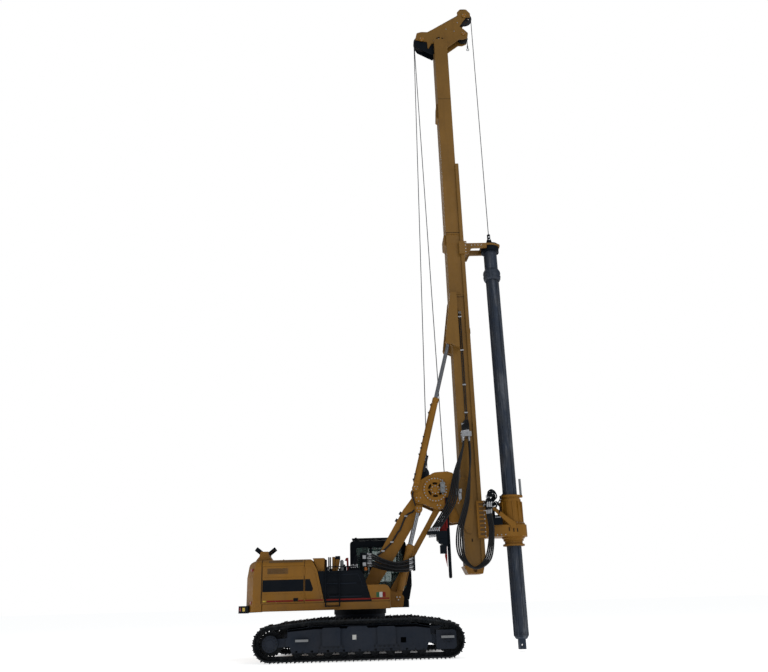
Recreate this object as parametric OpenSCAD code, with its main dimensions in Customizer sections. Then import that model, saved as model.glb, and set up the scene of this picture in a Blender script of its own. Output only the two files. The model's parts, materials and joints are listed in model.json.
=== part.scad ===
// Rotary piling rig on crawler tracks.
// Sizes are in millimetres. +X points to the front, +Y to the left, +Z up.
// Heights and places below are given from the slew axis on the ground;
// rig() then moves everything so that the origin is the middle of the footprint.

/* [Tracks] */
// Width of a track shoe
shoe_w = 800; // [600:10:900]
// Distance between the middles of the two tracks
gauge = 3500; // [3200:10:3800]
// Distance between idler and sprocket centres
wheel_base = 4620; // [4400:10:4800]
// Radius of the track's round ends, out to the lug tips
loop_r = 470; // [440:5:500]
// Height of the upper run of the track
run_top = 1050; // [1010:5:1100]
// Length of one track shoe along the chain
shoe_pitch = 216; // [190:1:260]
// Height of the lugs on a shoe
lug_h = 32; // [20:1:45]
// Thickness of a shoe plate
shoe_t = 22; // [14:1:30]
// Height of the chain links under the shoes
link_h = 96; // [80:1:110]
// Half width of a track frame
frame_half = 270; // [240:5:300]

/* [Upper structure] */
// Width over the house sides
house_w = 3000; // [2800:10:3200]
// Underside of the deck
deck_z = 1260; // [1240:5:1300]
// Thickness of the deck
deck_t = 200; // [160:5:240]
// Top of the engine house
house_top = 2600; // [2500:10:2700]
// Front end of the deck
deck_front = 860; // [840:5:900]
// Depth of the counterweight along the middle
weight_d = 610; // [560:10:660]
// Tail radius of the counterweight
tail_r = 3250; // [3150:10:3350]
// Thickness of house walls and doors
wall = 40; // [30:2:50]
// Height of the cab roof
cab_top = 3200; // [3100:10:3300]
// Length of the cab
cab_l = 1850; // [1750:10:1900]
// Width of the cab
cab_w = 850; // [800:10:860]

/* [Boom linkage] */
// Boom foot pin, X
boom_x = 250; // [220:5:280]
// Boom foot pin, Z
boom_z = 1780; // [1750:5:1820]
// Length of the boom and of the struts, pin to pin
boom_l = 2958; // [2900:2:3000]
// Angle of the boom above the ground
boom_angle = 58.4; // [57:0.1:60]
// Strut pin ahead of the boom pin
strut_dx = 600; // [580:5:620]
// Strut pin below the boom pin
strut_dz = 230; // [220:5:240]
// Depth of the boom box
boom_depth = 470; // [440:5:500]
// Half width of the boom
boom_half = 290; // [270:5:295]
// Thickness of the mast carrier's side plates
carrier_t = 80; // [60:2:84]

/* [Mast] */
// Rear face of the mast
mast_x = 3100; // [3090:2:3120]
// Depth of the mast box
mast_depth = 480; // [440:5:500]
// Half width of the mast box
mast_half = 380; // [360:5:390]
// Wall of the mast box
mast_wall = 16; // [10:1:25]
// Foot of the mast
mast_foot = 2120; // [2080:5:2160]
// Top of the mast box
mast_top = 21300; // [21000:50:21600]
// Depth of the guide rails in front of the mast
rail_d = 100; // [80:2:120]
// Top end of the guide rails
rail_top = 15850; // [15500:50:16500]
// Mast tilt pin, Z
tilt_z = 4200; // [4150:5:4250]
// Radius of the sheaves at the rope
sheave_r = 280; // [260:5:300]
// Diameter of the wire ropes
rope_d = 28; // [20:1:36]

/* [Drill string] */
// Distance from the mast's rear face to the kelly axis
kelly_reach = 1510; // [1480:5:1550]
// Radius of the kelly's outer tube
kelly_r = 200; // [190:2:206]
// Lower end of the kelly's stub
kelly_foot = 60; // [40:5:100]
// Top of the rotary drive
drive_top = 4380; // [4320:5:4440]
// Underside of the rotary drive's lower flange
drive_foot = 2890; // [2850:5:2920]
// Side of the square kelly stub
stub_side = 200; // [180:5:220]
// Radius of the stub's cross pin hole
stub_pin_r = 31; // [25:1:35]

/* [Hidden] */
$fn = 64;
fit = 0.3;
slide_fit = 0.5;
gap = 6;

chain_t = lug_h + shoe_t + link_h;
wheel_x = wheel_base / 2;
wheel_z = loop_r;
wheel_in = loop_r - chain_t;
track_y = gauge / 2;
roller_r = 105;
roller_z = chain_t + fit + roller_r;
carrier_roller_r = 80;
deck_top = deck_z + deck_t;
race_z = deck_z - 140;
ring_r = 720;
body_top = race_z - 160;
house_half = house_w / 2;
weight_front = weight_d - tail_r;
sill_top = deck_top;
tank_top = 2270;
box_top = 1880;
side_in = 650;
cab_rear = -300;
cab_front = cab_rear + cab_l;
cab_in = side_in;
cab_out = cab_in + cab_w;

// Points of the boom linkage in the side view, as [x, z]
boom_v = boom_l * [cos(boom_angle), sin(boom_angle)];
boom_pin = [boom_x, boom_z];
head_pin = boom_pin + boom_v;
strut_pin = boom_pin + [strut_dx, -strut_dz];
strut_top = strut_pin + boom_v;
lift_foot = [1100, 1520];
lift_eye = head_pin + [-20, -320];
winch_c = head_pin + [510, 260];
aux_c = head_pin + [150, 770];
winch_r = 360;
ram_foot = head_pin + [-80, 300];
ram_y = 500;
lift_y = 500;
tilt_pin = [mast_x - 120, tilt_z];
ram_eye = [mast_x - 130, tilt_z + 5030];
mast_front = mast_x + mast_depth;
rail_front = mast_front + rail_d;
rail_in = 300;
rail_out = mast_half + 60;
kelly_x = mast_x + kelly_reach;
front_sheave = [kelly_x - sheave_r, mast_top + 1280];
rear_sheave = [mast_x - 450, mast_top + 180];
aux_sheave = [mast_front + 670, mast_top + 420];
carrier_in = boom_half + 10;
carrier_out = carrier_in + carrier_t;
drive_front = kelly_x + 430;
bumper_rear = tail_r + 70;

// The footprint's middle, which is where the origin lies
frame_x = (drive_front - bumper_rear) / 2;

yellow = [0.62, 0.40, 0.08];
black = [0.06, 0.06, 0.07];
steel = [0.55, 0.56, 0.58];
grey = [0.20, 0.22, 0.25];
glass = [0.35, 0.50, 0.48, 0.4];

// Helpers

module rig() { translate([-frame_x, 0, 0]) children(); }

// A side-view outline, thickened from y0 to y1
module plate(y0, y1) {
  translate([0, y1, 0]) rotate([90, 0, 0]) linear_extrude(y1 - y0) children();
}

// The same thing on the right and on the left
module both() {
  children();
  mirror([0, 1, 0]) children();
}

// A plate on both sides of the middle plane
module plates(y0, y1) { both() plate(y0, y1) children(); }

// A round bar across the rig at a side-view point
module across(p, y0, y1, r) {
  translate([p[0], y0, p[1]]) rotate([-90, 0, 0]) cylinder(r = r, h = y1 - y0);
}

// Turns a part that was drawn up the Z axis to lie from p towards q
module aim(p, q, y = 0) {
  translate([p[0], y, p[1]]) rotate([0, atan2(q[0] - p[0], q[1] - p[1]), 0]) children();
}

module block(x0, x1, y0, y1, z0, z1) {
  translate([x0, y0, z0]) cube([x1 - x0, y1 - y0, z1 - z0]);
}

function unit(v) = v / norm(v);

// The arc that rounds the corner at b, between its neighbours a and c
function corner_arc(a, b, c, r, n) =
  let (u = unit(a - b), v = unit(c - b), half = acos(u * v) / 2,
       mid = b + unit(u + v) * r / sin(half),
       p = b + u * r / tan(half) - mid, q = b + v * r / tan(half) - mid,
       from = atan2(p[1], p[0]), turn = atan2(p[0] * q[1] - p[1] * q[0], p * q))
  [for (i = [0 : n]) mid + r * [cos(from + turn * i / n), sin(from + turn * i / n)]];

// An outline from points [x, y, radius], with its corners rounded
function rounded(pts, n = 5) =
  let (k = len(pts))
  [for (i = [0 : k - 1])
    let (b = [pts[i][0], pts[i][1]], r = pts[i][2],
         a = [pts[(i + k - 1) % k][0], pts[(i + k - 1) % k][1]],
         c = [pts[(i + 1) % k][0], pts[(i + 1) % k][1]])
    each (r > 0 ? corner_arc(a, b, c, r, n) : [b])];

// Track loop: a belt round the idler, two raised carrier points and the sprocket.
// Each row is [x, z, radius] at the line where the shoes sit on the chain.
seat_r = loop_r - lug_h - shoe_t;
hump_r = 400;
hump_front = 1500;
hump_rear = -1150;
hump_z = run_top - lug_h - shoe_t - hump_r;
loop_wheels = [
  [wheel_x, wheel_z, seat_r], [hump_front, hump_z, hump_r],
  [hump_rear, hump_z, hump_r], [-wheel_x, wheel_z, seat_r]
];

// Direction of the belt's outward normal on the straight run from wheel a to wheel b
function run_angle(a, b) =
  let (d = [b[0] - a[0], b[1] - a[1]])
  atan2(d[1], d[0]) - acos((a[2] - b[2]) / norm(d));
function run_length(a, b) =
  let (d = norm([b[0] - a[0], b[1] - a[1]])) sqrt(d * d - pow(a[2] - b[2], 2));
function turn_up(a) = a < 0 ? a + 360 : a;

wheel_count = len(loop_wheels);
run_angles = [for (i = [0 : wheel_count - 1])
  run_angle(loop_wheels[i], loop_wheels[(i + 1) % wheel_count])];
run_lengths = [for (i = [0 : wheel_count - 1])
  run_length(loop_wheels[i], loop_wheels[(i + 1) % wheel_count])];
// How far the belt turns on each wheel before its straight run
wheel_turns = [for (i = [0 : wheel_count - 1])
  turn_up(run_angles[i] - run_angles[(i + wheel_count - 1) % wheel_count])];
arc_lengths = [for (i = [0 : wheel_count - 1]) loop_wheels[i][2] * wheel_turns[i] * PI / 180];
function part_sum(v, n) = n == 0 ? 0 : v[n - 1] + part_sum(v, n - 1);
loop_length = part_sum(arc_lengths, wheel_count) + part_sum(run_lengths, wheel_count);

// [point, normal angle] at the distance s along the belt, counted from wheel i's arc
function on_loop(s, i = 0) =
  let (w = loop_wheels[i], start = run_angles[(i + wheel_count - 1) % wheel_count])
  s < arc_lengths[i]
    ? let (t = start + s / w[2] * 180 / PI) [[w[0], w[1]] + w[2] * [cos(t), sin(t)], t]
    : s < arc_lengths[i] + run_lengths[i]
      ? let (t = run_angles[i], along = s - arc_lengths[i])
        [[w[0], w[1]] + w[2] * [cos(t), sin(t)] + along * [-sin(t), cos(t)], t]
      : on_loop(s - arc_lengths[i] - run_lengths[i], (i + 1) % wheel_count);

shoe_count = round(loop_length / shoe_pitch);
shoe_step = loop_length / shoe_count;
// One shoe's outer profile: [share of the step along the chain, height above the chain]
shoe_profile = [
  [-0.48, 0], [-0.46, shoe_t], [-0.41, shoe_t + lug_h], [-0.36, shoe_t + lug_h], [-0.29, shoe_t],
  [0.06, shoe_t], [0.10, shoe_t + lug_h * 0.7], [0.15, shoe_t + lug_h * 0.7], [0.19, shoe_t],
  [0.46, shoe_t], [0.48, 0]
];
shoe_points = [for (k = [0 : shoe_count - 1])
  let (at = on_loop(shoe_step * k), n = [cos(at[1]), sin(at[1])], t = [-sin(at[1]), cos(at[1])])
  for (p = shoe_profile) at[0] + t * p[0] * shoe_step + n * p[1]];
// The belt line moved inwards by d, with flats that stay outside the true arcs
arc_steps = 20;
function inset_loop(d) = [for (i = [0 : wheel_count - 1]) let (w = loop_wheels[i],
    start = run_angles[(i + wheel_count - 1) % wheel_count], step = wheel_turns[i] / arc_steps,
    r = (w[2] - d) / cos(step / 2))
  for (k = [0 : arc_steps - 1]) let (t = start + (k + 0.5) * step) [w[0], w[1]] + r * [cos(t), sin(t)]];
web_t = 14;
chain_half = 130;

module track(y) {
  color(black) intersection() {
    union() {
      plate(y - shoe_w / 2, y + shoe_w / 2) difference() {
        polygon(shoe_points);
        polygon(inset_loop(web_t));
      }
      plate(y - chain_half, y + chain_half) difference() {
        polygon(inset_loop(1));
        polygon(inset_loop(link_h));
      }
    }
    block(-2 * wheel_x, 2 * wheel_x, y - shoe_w, y + shoe_w, 0, 2 * run_top);
  }
}

// Track frame with roller guards, idler fork, final drive cover and gauge beam caps
frame_end = wheel_x - 405;
beam_x = 720;
beam_half = 240;
fork_in = 150;
fork_out = 215;
guard_in = 210;
yoke_rear = wheel_x - 295;
yoke_half = 235;
frame_low = roller_z + roller_r + 40;
frame_top = 720;
guard_top = run_top - chain_t - 30;

module track_frame(side) {
  y = side * track_y;
  color(grey) {
    plate(y - frame_half, y + frame_half) polygon(rounded([
      [-frame_end, frame_low, 30], [frame_end, frame_low, 30], [frame_end, 600, 40],
      [hump_front + 100, frame_top, 0], [hump_rear - 100, frame_top, 0], [-frame_end, 600, 40]]));
    for (s = [-1, 1]) {
      plate(y + (s > 0 ? guard_in : -frame_half), y + (s > 0 ? frame_half : -guard_in))
        polygon(rounded([[-frame_end + 150, 235, 20], [frame_end - 150, 235, 20], [frame_end - 90, frame_low, 0],
          [-frame_end + 90, frame_low, 0]]));
      plate(y + (s > 0 ? fork_out : -frame_half), y + (s > 0 ? frame_half : -fork_out))
        polygon([[-frame_end + 40, 600], [frame_end - 40, 600], [frame_end - 40, guard_top - 70], [hump_front, guard_top],
          [hump_rear, guard_top], [-frame_end + 40, guard_top - 70]]);
      plate(y + (s > 0 ? fork_in : -fork_out), y + (s > 0 ? fork_out : -fork_in))
        polygon(rounded([[-wheel_x - 60, 360, 40], [-frame_end + 60, 390, 0], [-frame_end + 60, 600, 0],
          [-wheel_x - 60, 580, 40]]));
      plate(y + (s > 0 ? fork_in : -fork_out), y + (s > 0 ? fork_out : -fork_in))
        polygon(rounded([[frame_end - 60, 390, 0], [wheel_x + 80, 340, 40], [wheel_x + 80, 600, 40],
          [frame_end - 60, 595, 0]]));
      plate(y + (s > 0 ? fork_in : -frame_half), y + (s > 0 ? frame_half : -fork_in))
        polygon(rounded([[yoke_rear, wheel_z - yoke_half, 0], [wheel_x + yoke_half, wheel_z - yoke_half, 90],
          [wheel_x + yoke_half, wheel_z + yoke_half, 90], [yoke_rear, wheel_z + yoke_half, 30]]));
    }
    outer_cap(side, y) across([-wheel_x, wheel_z], 0, 110, 205);
    for (x = [-beam_x, beam_x]) gauge_cap(side, y, x);
    for (x = [-1480, wheel_x]) frame_step(side, y, x);
  }
}

// Puts something that is drawn from y = 0 outwards on the outer face of the fork or frame
module outer_cap(side, y, from = fork_out) {
  translate([0, y + side * from, 0]) mirror([0, side > 0 ? 0 : 1, 0]) children();
}

module gauge_cap(side, y, x) {
  outer_cap(side, y, frame_half) {
    plate(0, 60) polygon(rounded([[x - beam_half, 390, 0], [x + beam_half, 390, 0],
      [x + beam_half, 830, 50], [x - beam_half, 830, 50]]));
    plate(0, 25) polygon(rounded([[x - beam_half - 170, 300, 40], [x + beam_half + 170, 300, 40],
      [x + beam_half, 420, 60], [x - beam_half, 420, 60]]));
  }
}

module frame_step(side, y, x) {
  outer_cap(side, y, frame_half) {
    for (dx = [-170, 150]) plate(0, 90) polygon([[x + dx, 500], [x + dx + 20, 500], [x + dx + 20, 540], [x + dx, 540]]);
    plate(70, 110) polygon([[x - 170, 500], [x + 170, 500], [x + 170, 520], [x - 170, 520]]);
  }
}

module sprockets() {
  teeth = 21;
  notch_r = 24;
  color(black) both() translate([-wheel_x, track_y, wheel_z]) rotate([90, 0, 0]) {
    difference() {
      cylinder(r = wheel_in - fit, h = 120, center = true);
      for (k = [0 : teeth - 1]) rotate(k * 360 / teeth)
        translate([wheel_in - fit, 0, 0]) cylinder(r = notch_r, h = 140, center = true, $fn = 24);
    }
    cylinder(r = 160, h = 2 * (fork_in - fit), center = true);
  }
}

module idlers() {
  color(black) both() translate([wheel_x, track_y, wheel_z]) rotate([90, 0, 0]) {
    difference() {
      cylinder(r = wheel_in - fit, h = 260, center = true);
      for (s = [-1, 1]) translate([0, 0, s * 130]) difference() {
        cylinder(r = wheel_in - 60, h = 120, center = true);
        cylinder(r = 120, h = 130, center = true);
      }
    }
    cylinder(r = 75, h = 2 * (fork_in - fit), center = true);
  }
}

roller_count = 9;
roller_span = 3250;
module rollers() {
  color(black) both() {
    for (k = [0 : roller_count - 1])
      translate([-roller_span / 2 + k * roller_span / (roller_count - 1), track_y, roller_z])
        rotate([90, 0, 0]) rotate_extrude() polygon([
          [0, -guard_in + fit], [60, -guard_in + fit], [60, -180], [roller_r + 30, -180], [roller_r + 30, -150],
          [roller_r, -140], [roller_r, 140], [roller_r + 30, 150], [roller_r + 30, 180], [60, 180],
          [60, guard_in - fit], [0, guard_in - fit]]);
    for (x = [hump_rear, hump_front])
      translate([x, track_y, run_top - chain_t - fit - carrier_roller_r]) {
        rotate([90, 0, 0]) cylinder(r = carrier_roller_r, h = 300, center = true);
        block(-40, 40, -60, 60, frame_top - (run_top - chain_t - fit - carrier_roller_r), -carrier_roller_r / 2);
      }
  }
}

module track_wheels() {
  sprockets();
  idlers();
  rollers();
}

module carbody() {
  color(grey) {
    plate(-850, 850) polygon(rounded([[-950, 470, 60], [950, 470, 60], [950, 760, 0], [780, body_top, 0],
      [-780, body_top, 0], [-950, 760, 0]]));
    translate([0, 0, body_top]) cylinder(r = ring_r, h = race_z - body_top - fit);
    for (x = [-beam_x, beam_x]) both()
      block(x - beam_half + 20, x + beam_half - 20, 850 + fit, track_y - frame_half, 480, 700);
    for (s = [-1, 1]) difference() {
      linear_extrude_at(tow_z - tow_t / 2, tow_t) polygon(rounded([[s * (950 + fit), -130, 0], [s * 1130, -100, 80],
        [s * 1130, 100, 80], [s * (950 + fit), 130, 0]]));
      translate([s * tow_x, 0, tow_z - tow_t]) cylinder(r = tow_r, h = 2 * tow_t);
    }
  }
}
tow_x = 1045;
tow_z = 610;
tow_t = 120;
tow_r = 45;

// Upper structure

module upper_deck() {
  color(yellow) difference() {
    union() {
      linear_extrude_at(deck_z, deck_t) polygon(rounded([
        [weight_front, -house_half, 60], [deck_front, -house_half, 60], [deck_front, -side_in, 0],
        [deck_front, cab_in, 0], [cab_front - 100, cab_in, 60], [cab_front - 100, cab_out - 20, 120],
        [deck_front, house_half, 60], [weight_front, house_half, 60]]));
      translate([0, 0, race_z]) cylinder(r = ring_r + 30, h = deck_top - race_z - 10);
    }
    for (s = [-1, 1]) block(weight_front + 60, -900, s * 740 - 620, s * 740 + 620, deck_z - 10, deck_top - 40);
    for (s = [-1, 1]) block(-780, deck_front - 60, s * 1130 - 310, s * 1130 + 310, deck_z - 10, deck_top - 40);
    both() across(strut_pin, 119, 281, 104);
  }
}

// Ears and plates on the deck that hold the boom, the struts and the lift cylinders
module boom_foot() {
  color(yellow) difference() {
    union() {
      foot_plates();
      front_plates();
    }
    block(weight_front, deck_front, -house_half, house_half, deck_z - 10, deck_top);
    both() across(strut_pin, 119, 281, 104);
    both() across(lift_foot, 431, 564, 124);
    across(boom_pin, -600, 600, 70 + fit);
    across(strut_pin, -600, 600, 60 + fit);
    across(lift_foot, -900, 900, 55 + fit);
  }
}

module linear_extrude_at(z, h) { translate([0, 0, z]) linear_extrude(h) children(); }

// Ears of the boom foot on the deck
module foot_plates() {
  plates(carrier_in, carrier_in + 70) polygon(rounded([
    [boom_pin[0] - 330, deck_top - 20, 0], [boom_pin[0] + 330, deck_top - 20, 0],
    [boom_pin[0] + 150, boom_pin[1] + 150, 130], [boom_pin[0] - 170, boom_pin[1] + 150, 130]]));
}

// Plates in front of the deck that hold the struts and the lift cylinders
module front_plates() {
  for (y = [[40, 115], [285, 430], [565, 630]])
    plates(y[0], y[1]) polygon(rounded([
      [deck_front - 330, deck_z + 15, 0], [lift_foot[0] + 130, deck_z + 15, 60],
      [lift_foot[0] + 170, lift_foot[1] + 60, 90], [lift_foot[0] - 40, lift_foot[1] + 150, 60],
      [strut_pin[0] + 60, strut_pin[1] + 170, 80], [strut_pin[0] - 130, strut_pin[1] + 170, 80],
      [deck_front - 330, deck_top + 60, 0]]));
  block(deck_front - 20, lift_foot[0] + 120, -630, 630, deck_z + 15, deck_z + 60);
}

// The house's cross-section, a box with rounded roof edges, moved inwards by d
roof_r = 170;
module house_section(d, x0, x1) {
  translate([x0, 0, 0]) rotate([90, 0, 90]) linear_extrude(x1 - x0) polygon(rounded([
    [-house_half + d, 0, 0], [house_half - d, 0, 0], [house_half - d, house_top - d, roof_r - d],
    [-house_half + d, house_top - d, roof_r - d]]));
}

// The counterweight's round tail before its sides are cut, d larger all round
module tail(d = 0) {
  rotate_extrude($fn = 128) polygon(rounded([[0, deck_z, 0], [tail_r + d, deck_z, 0],
    [tail_r + d, house_top - 440, 150], [tail_r - 70 + d, house_top + d, 160], [0, house_top + d, 0]], 4));
}

module counterweight() {
  color(yellow) intersection() {
    tail();
    house_section(0, -2 * tail_r, weight_front - fit);
  }
}

module rear_bumper() {
  color(black) difference() {
    linear_extrude_at(deck_z - 30, 190) polygon(rounded([[-bumper_rear, -1150, 60], [-bumper_rear + 300, -1350, 0],
      [-bumper_rear + 300, 1350, 0], [-bumper_rear, 1150, 60]]));
    translate([0, 0, deck_z - 100]) cylinder(r = tail_r + fit, h = 400, $fn = 128);
  }
}

// Engine house: roof, sides with door openings, and a slanted front
house_front = -940;
slant_x = -1140;
door_rear = weight_front + 8;
door_front = -1500;
door_z0 = deck_top + 40;
door_z1 = house_top - roof_r - 10;
lid_rear = weight_front + 410;
lid_front = -1420;
lid_half = 1050;

function house_outline(d) = rounded([
  [weight_front, deck_top, 0], [house_front - d, deck_top, 0], [slant_x - d, tank_top + 40, 0],
  [slant_x - 160 - d, house_top - d, 90], [weight_front, house_top - d, 0]], 4);

module engine_house() {
  color(yellow) {
    difference() {
      intersection() {
        plate(-house_half, house_half) polygon(house_outline(0));
        house_section(0, weight_front, house_front);
      }
      intersection() {
        plate(-house_half, house_half) translate([-1, -1]) polygon(house_outline(wall));
        house_section(wall, weight_front - 10, house_front);
      }
      for (s = [-1, 1])
        block(weight_front - 10, door_front + gap, s * house_half - 2 * wall, s * house_half + 2 * wall,
          door_z0 - gap, door_z1 + gap);
      block(lid_rear - gap, lid_front + gap, -lid_half - gap, lid_half + gap, house_top - 2 * wall, house_top + 10);
    }
    both() for (z = [door_z0 + 60, door_z1 - 220]) {
      block(door_front + gap, door_front + gap + 40, house_half, house_half + 12, z - 40, z - fit);
      block(door_front + gap, door_front + gap + 40, house_half, house_half + 12, z + 160 + fit, z + 200);
    }
  }
}

hinge_r = 14;
// A side door of the engine house, drawn on the left side
module engine_door() {
  color(yellow) {
    difference() {
      block(door_rear, door_front, house_half - wall, house_half, door_z0, door_z1);
      for (k = [0 : 9])
        block(door_rear + 130, door_rear + 620, house_half - 2 * wall, house_half + 10,
          door_z1 - 190 + k * 14, door_z1 - 190 + k * 14 + 6);
    }
    for (z = [door_z0 + 60, door_z1 - 220]) {
      translate([door_front + gap + 20, house_half + hinge_r, z]) cylinder(r = hinge_r, h = 160);
      block(door_front - 40, door_front + gap + 20, house_half, house_half + 10, z, z + 160);
    }
  }
}

module hood_lid() {
  color(yellow) {
    block(lid_rear, lid_front, -lid_half, lid_half, house_top - wall, house_top);
    for (s = [-1, 1]) {
      translate([lid_front + gap + 20, s * 600, house_top + hinge_r + fit]) rotate([90, 0, 0])
        cylinder(r = hinge_r, h = 200, center = true);
      block(lid_front - 60, lid_front + gap + 20, s * 600 - 100, s * 600 + 100, house_top - 1 + fit + 1, house_top + 10);
      block(lid_front - 60, lid_front - 10, s * 600 - 100, s * 600 + 100, house_top - 1, house_top + 10);
    }
  }
}

module engine() {
  color(grey) block(weight_front + 290, -1450, -480, 480, deck_top, 2200);
}

// Black tank on the right side, with the sloping ends that the house and front box follow
tank_rear = house_front + 20;
tank_front = 345;
tank_lean = 250;
module side_tank() {
  color(black) difference() {
    plate(-house_half, -side_in) polygon(rounded([
      [tank_rear, deck_top, 0], [tank_front, deck_top, 0], [tank_front - tank_lean, tank_top, 120],
      [tank_rear - 200, tank_top, 0]]));
    block(tank_rear + 30, tank_front - tank_lean - 30, -house_half + 40, -side_in - 30, deck_top - 10, tank_top - 60);
    for (z = [deck_top + 160, deck_top + 470])
      plate(-house_half - 10, -house_half + 14) polygon(rounded([[-750, z, 10], [60, z, 10], [40, z + 30, 10], [-750, z + 30, 10]]));
  }
}

module front_box() {
  color(yellow) difference() {
    plate(-house_half, -side_in) polygon(rounded([
      [tank_front + 10, deck_top, 0], [deck_front, deck_top, 0], [deck_front, box_top, 170],
      [tank_front + 10 - tank_lean * (box_top - deck_top) / (tank_top - deck_top), box_top, 0]]));
    block(tank_front + 50, deck_front - 40, -house_half + 40, -side_in - 40, deck_top - 10, box_top - 120);
  }
}

module left_box() {
  color(yellow) difference() {
    plate(side_in, house_half) polygon(rounded([
      [tank_rear, deck_top, 0], [cab_rear - 30, deck_top, 0], [cab_rear - 30, tank_top, 60], [tank_rear - 200, tank_top, 0]]));
    block(tank_rear + 30, cab_rear - 70, side_in + 30, house_half - 40, deck_top - 10, tank_top - 60);
  }
}

// Valve blocks, filters and the air box between the tank and the cab
module valve_stack() {
  color(grey) {
    block(-900, -150, -500, 450, deck_top, 1900);
    for (k = [0 : 4]) block(-860 + k * 130, -780 + k * 130, -440, 200, 1900, 2380 + 40 * (k % 2));
    for (x = [-210, -330]) translate([x, 330, 1900]) cylinder(r = 55, h = 560, $fn = 32);
  }
  color(yellow) plate(-house_half + 100, -side_in + 30) polygon([[slant_x + 20, tank_top], [slant_x + 185, tank_top],
    [slant_x + 185, tank_top + 350], [slant_x - 130, tank_top + 350], [slant_x + 10, tank_top + 40]]);
}

module exhaust() {
  z = house_top;
  x = weight_front;
  color(yellow) plate(-1120, -620) polygon(rounded([[x - 250, z, 0], [x + 210, z, 0], [x + 120, z + 120, 30],
    [x + 105, z + 250, 20], [x - 115, z + 250, 20], [x - 150, z + 120, 30]]));
  color(black) for (s = [-1, 1]) translate([x + s * 70, -870 + s * 90, z + 185]) rotate([0, s * 52, 0]) difference() {
    cylinder(r = 62, h = 250);
    translate([0, 0, 110]) cylinder(r = 54, h = 300);
  }
}

// Marker lamp under the hose post's manifold, work lamps on the roof guard, red lamps round the tail
marker_r = 42;
lamp_w = 110;
module lamps() {
  color("orange") translate([post_x + 125, post_y - 120, port_low - 95 - fit - 95]) cylinder(r = marker_r, h = 95);
  color(black) for (k = [1, 7]) {
    y = cab_in + 60 + k * 105;
    block(nose_x - 60 + fit, nose_x + 30, y - lamp_w / 2, y + lamp_w / 2, cab_top + 30, cab_top + 130);
  }
  color("red") difference() {
    for (s = [-1, 1], z = [deck_top, house_top - 290]) rotate(180 - s * 25) block(tail_r - 80, tail_r + 20, -65, 65, z, z + 70);
    tail(fit);
  }
}

rail_r = 17;
module tube_to(p, q, r) {
  d = q - p;
  translate(p) rotate([0, acos(d[2] / norm(d)), atan2(d[1], d[0])]) cylinder(r = r, h = norm(d), $fn = 16);
}
ladder_x = -900;
ladder_w = 380;
module handrails() {
  y = -house_half - 60;
  top = [ladder_x, y, tank_top + 60];
  low = [ladder_x, y, deck_z + 80];
  wide = ladder_w;
  color(black) {
    for (dx = [0, wide]) tube_to(low + [dx, 0, 0], top + [dx, 0, 0], rail_r);
    for (k = [0 : 3]) tube_to(low + [0, 0, rail_r + k * 270], low + [wide, 0, rail_r + k * 270], rail_r - 2);
    for (dx = [0, wide], z = [deck_z + 130, deck_top + 90, tank_top - 90])
      tube_to([ladder_x + dx, y, z], [ladder_x + dx, -house_half, z], rail_r - 3);
    for (x = [-860, -350, -60]) tube_to([x, -house_half + 140, tank_top], [x, -house_half + 140, tank_top + 110], rail_r - 2);
    tube_to([-860, -house_half + 140, tank_top + 110], [-60, -house_half + 140, tank_top + 110], rail_r - 2);
  }
}

// Cab: a hollow box with its windows cut
cab_t = 50;
cab_floor = deck_top;
nose_x = cab_front - 160;
function cab_outline(d) = rounded([
  [cab_rear + d, cab_floor + d, 0], [cab_front - 90 - d, cab_floor + d, 60], [cab_front - d, cab_floor + 420, 120],
  [cab_front - d, cab_floor + 800, 120], [nose_x - d, cab_top - d, 130], [cab_rear + d, cab_top - d, 90]], 4);
door_x0 = cab_rear + 560;
door_x1 = cab_rear + 1500;
cab_door_z0 = cab_floor + 60;
cab_door_z1 = cab_top - 180;
window_sill = cab_floor + 560;
window_head = cab_top - 190;

module cab_shell() {
  difference() {
    plate(cab_in, cab_out) polygon(cab_outline(0));
    plate(cab_in + cab_t, cab_out - cab_t) polygon(cab_outline(cab_t));
    block(door_x0 - gap, door_x1 + gap, cab_out - 2 * cab_t, cab_out + 10, cab_door_z0 - gap, cab_door_z1 + gap);
    side_windows(cab_in - 10, cab_in + 2 * cab_t);
    rear_window();
    front_window();
  }
}
// The shell, parted along its edges into floor, roof and walls
module cab() {
  in = cab_in + cab_t;
  out = cab_out - cab_t;
  low = cab_floor + cab_t + 10;
  high = cab_top - cab_t - 20;
  rear = cab_rear - 50;
  front = cab_front + 50;
  middle = (cab_rear + cab_front) / 2;
  color(black) intersection() {
    cab_shell();
    union() {
      block(rear, front, cab_in - 50, in, 0, cab_top + 50);
      block(rear, door_x0 - gap, out, cab_out + 50, 0, cab_top + 50);
      block(door_x0 - gap + fit, door_x1 + gap - fit, out, cab_out + 50, 0, cab_top + 50);
      block(door_x1 + gap, front, out, cab_out + 50, 0, cab_top + 50);
      block(rear, front, in + fit, out - fit, 0, low);
      block(rear, front, in + fit, out - fit, high, cab_top + 50);
      block(rear, middle, in + fit, out - fit, low + fit, high - fit);
      block(middle + fit, front, in + fit, out - fit, low + fit, high - fit);
    }
  }
  color(black) for (z = [cab_door_z0 + 150, cab_door_z1 - 300]) {
    block(door_x0 - gap - 50, door_x0 - gap, cab_out, cab_out + 12, z - 40, z - fit);
    block(door_x0 - gap - 50, door_x0 - gap, cab_out, cab_out + 12, z + 140 + fit, z + 180);
  }
}

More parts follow.
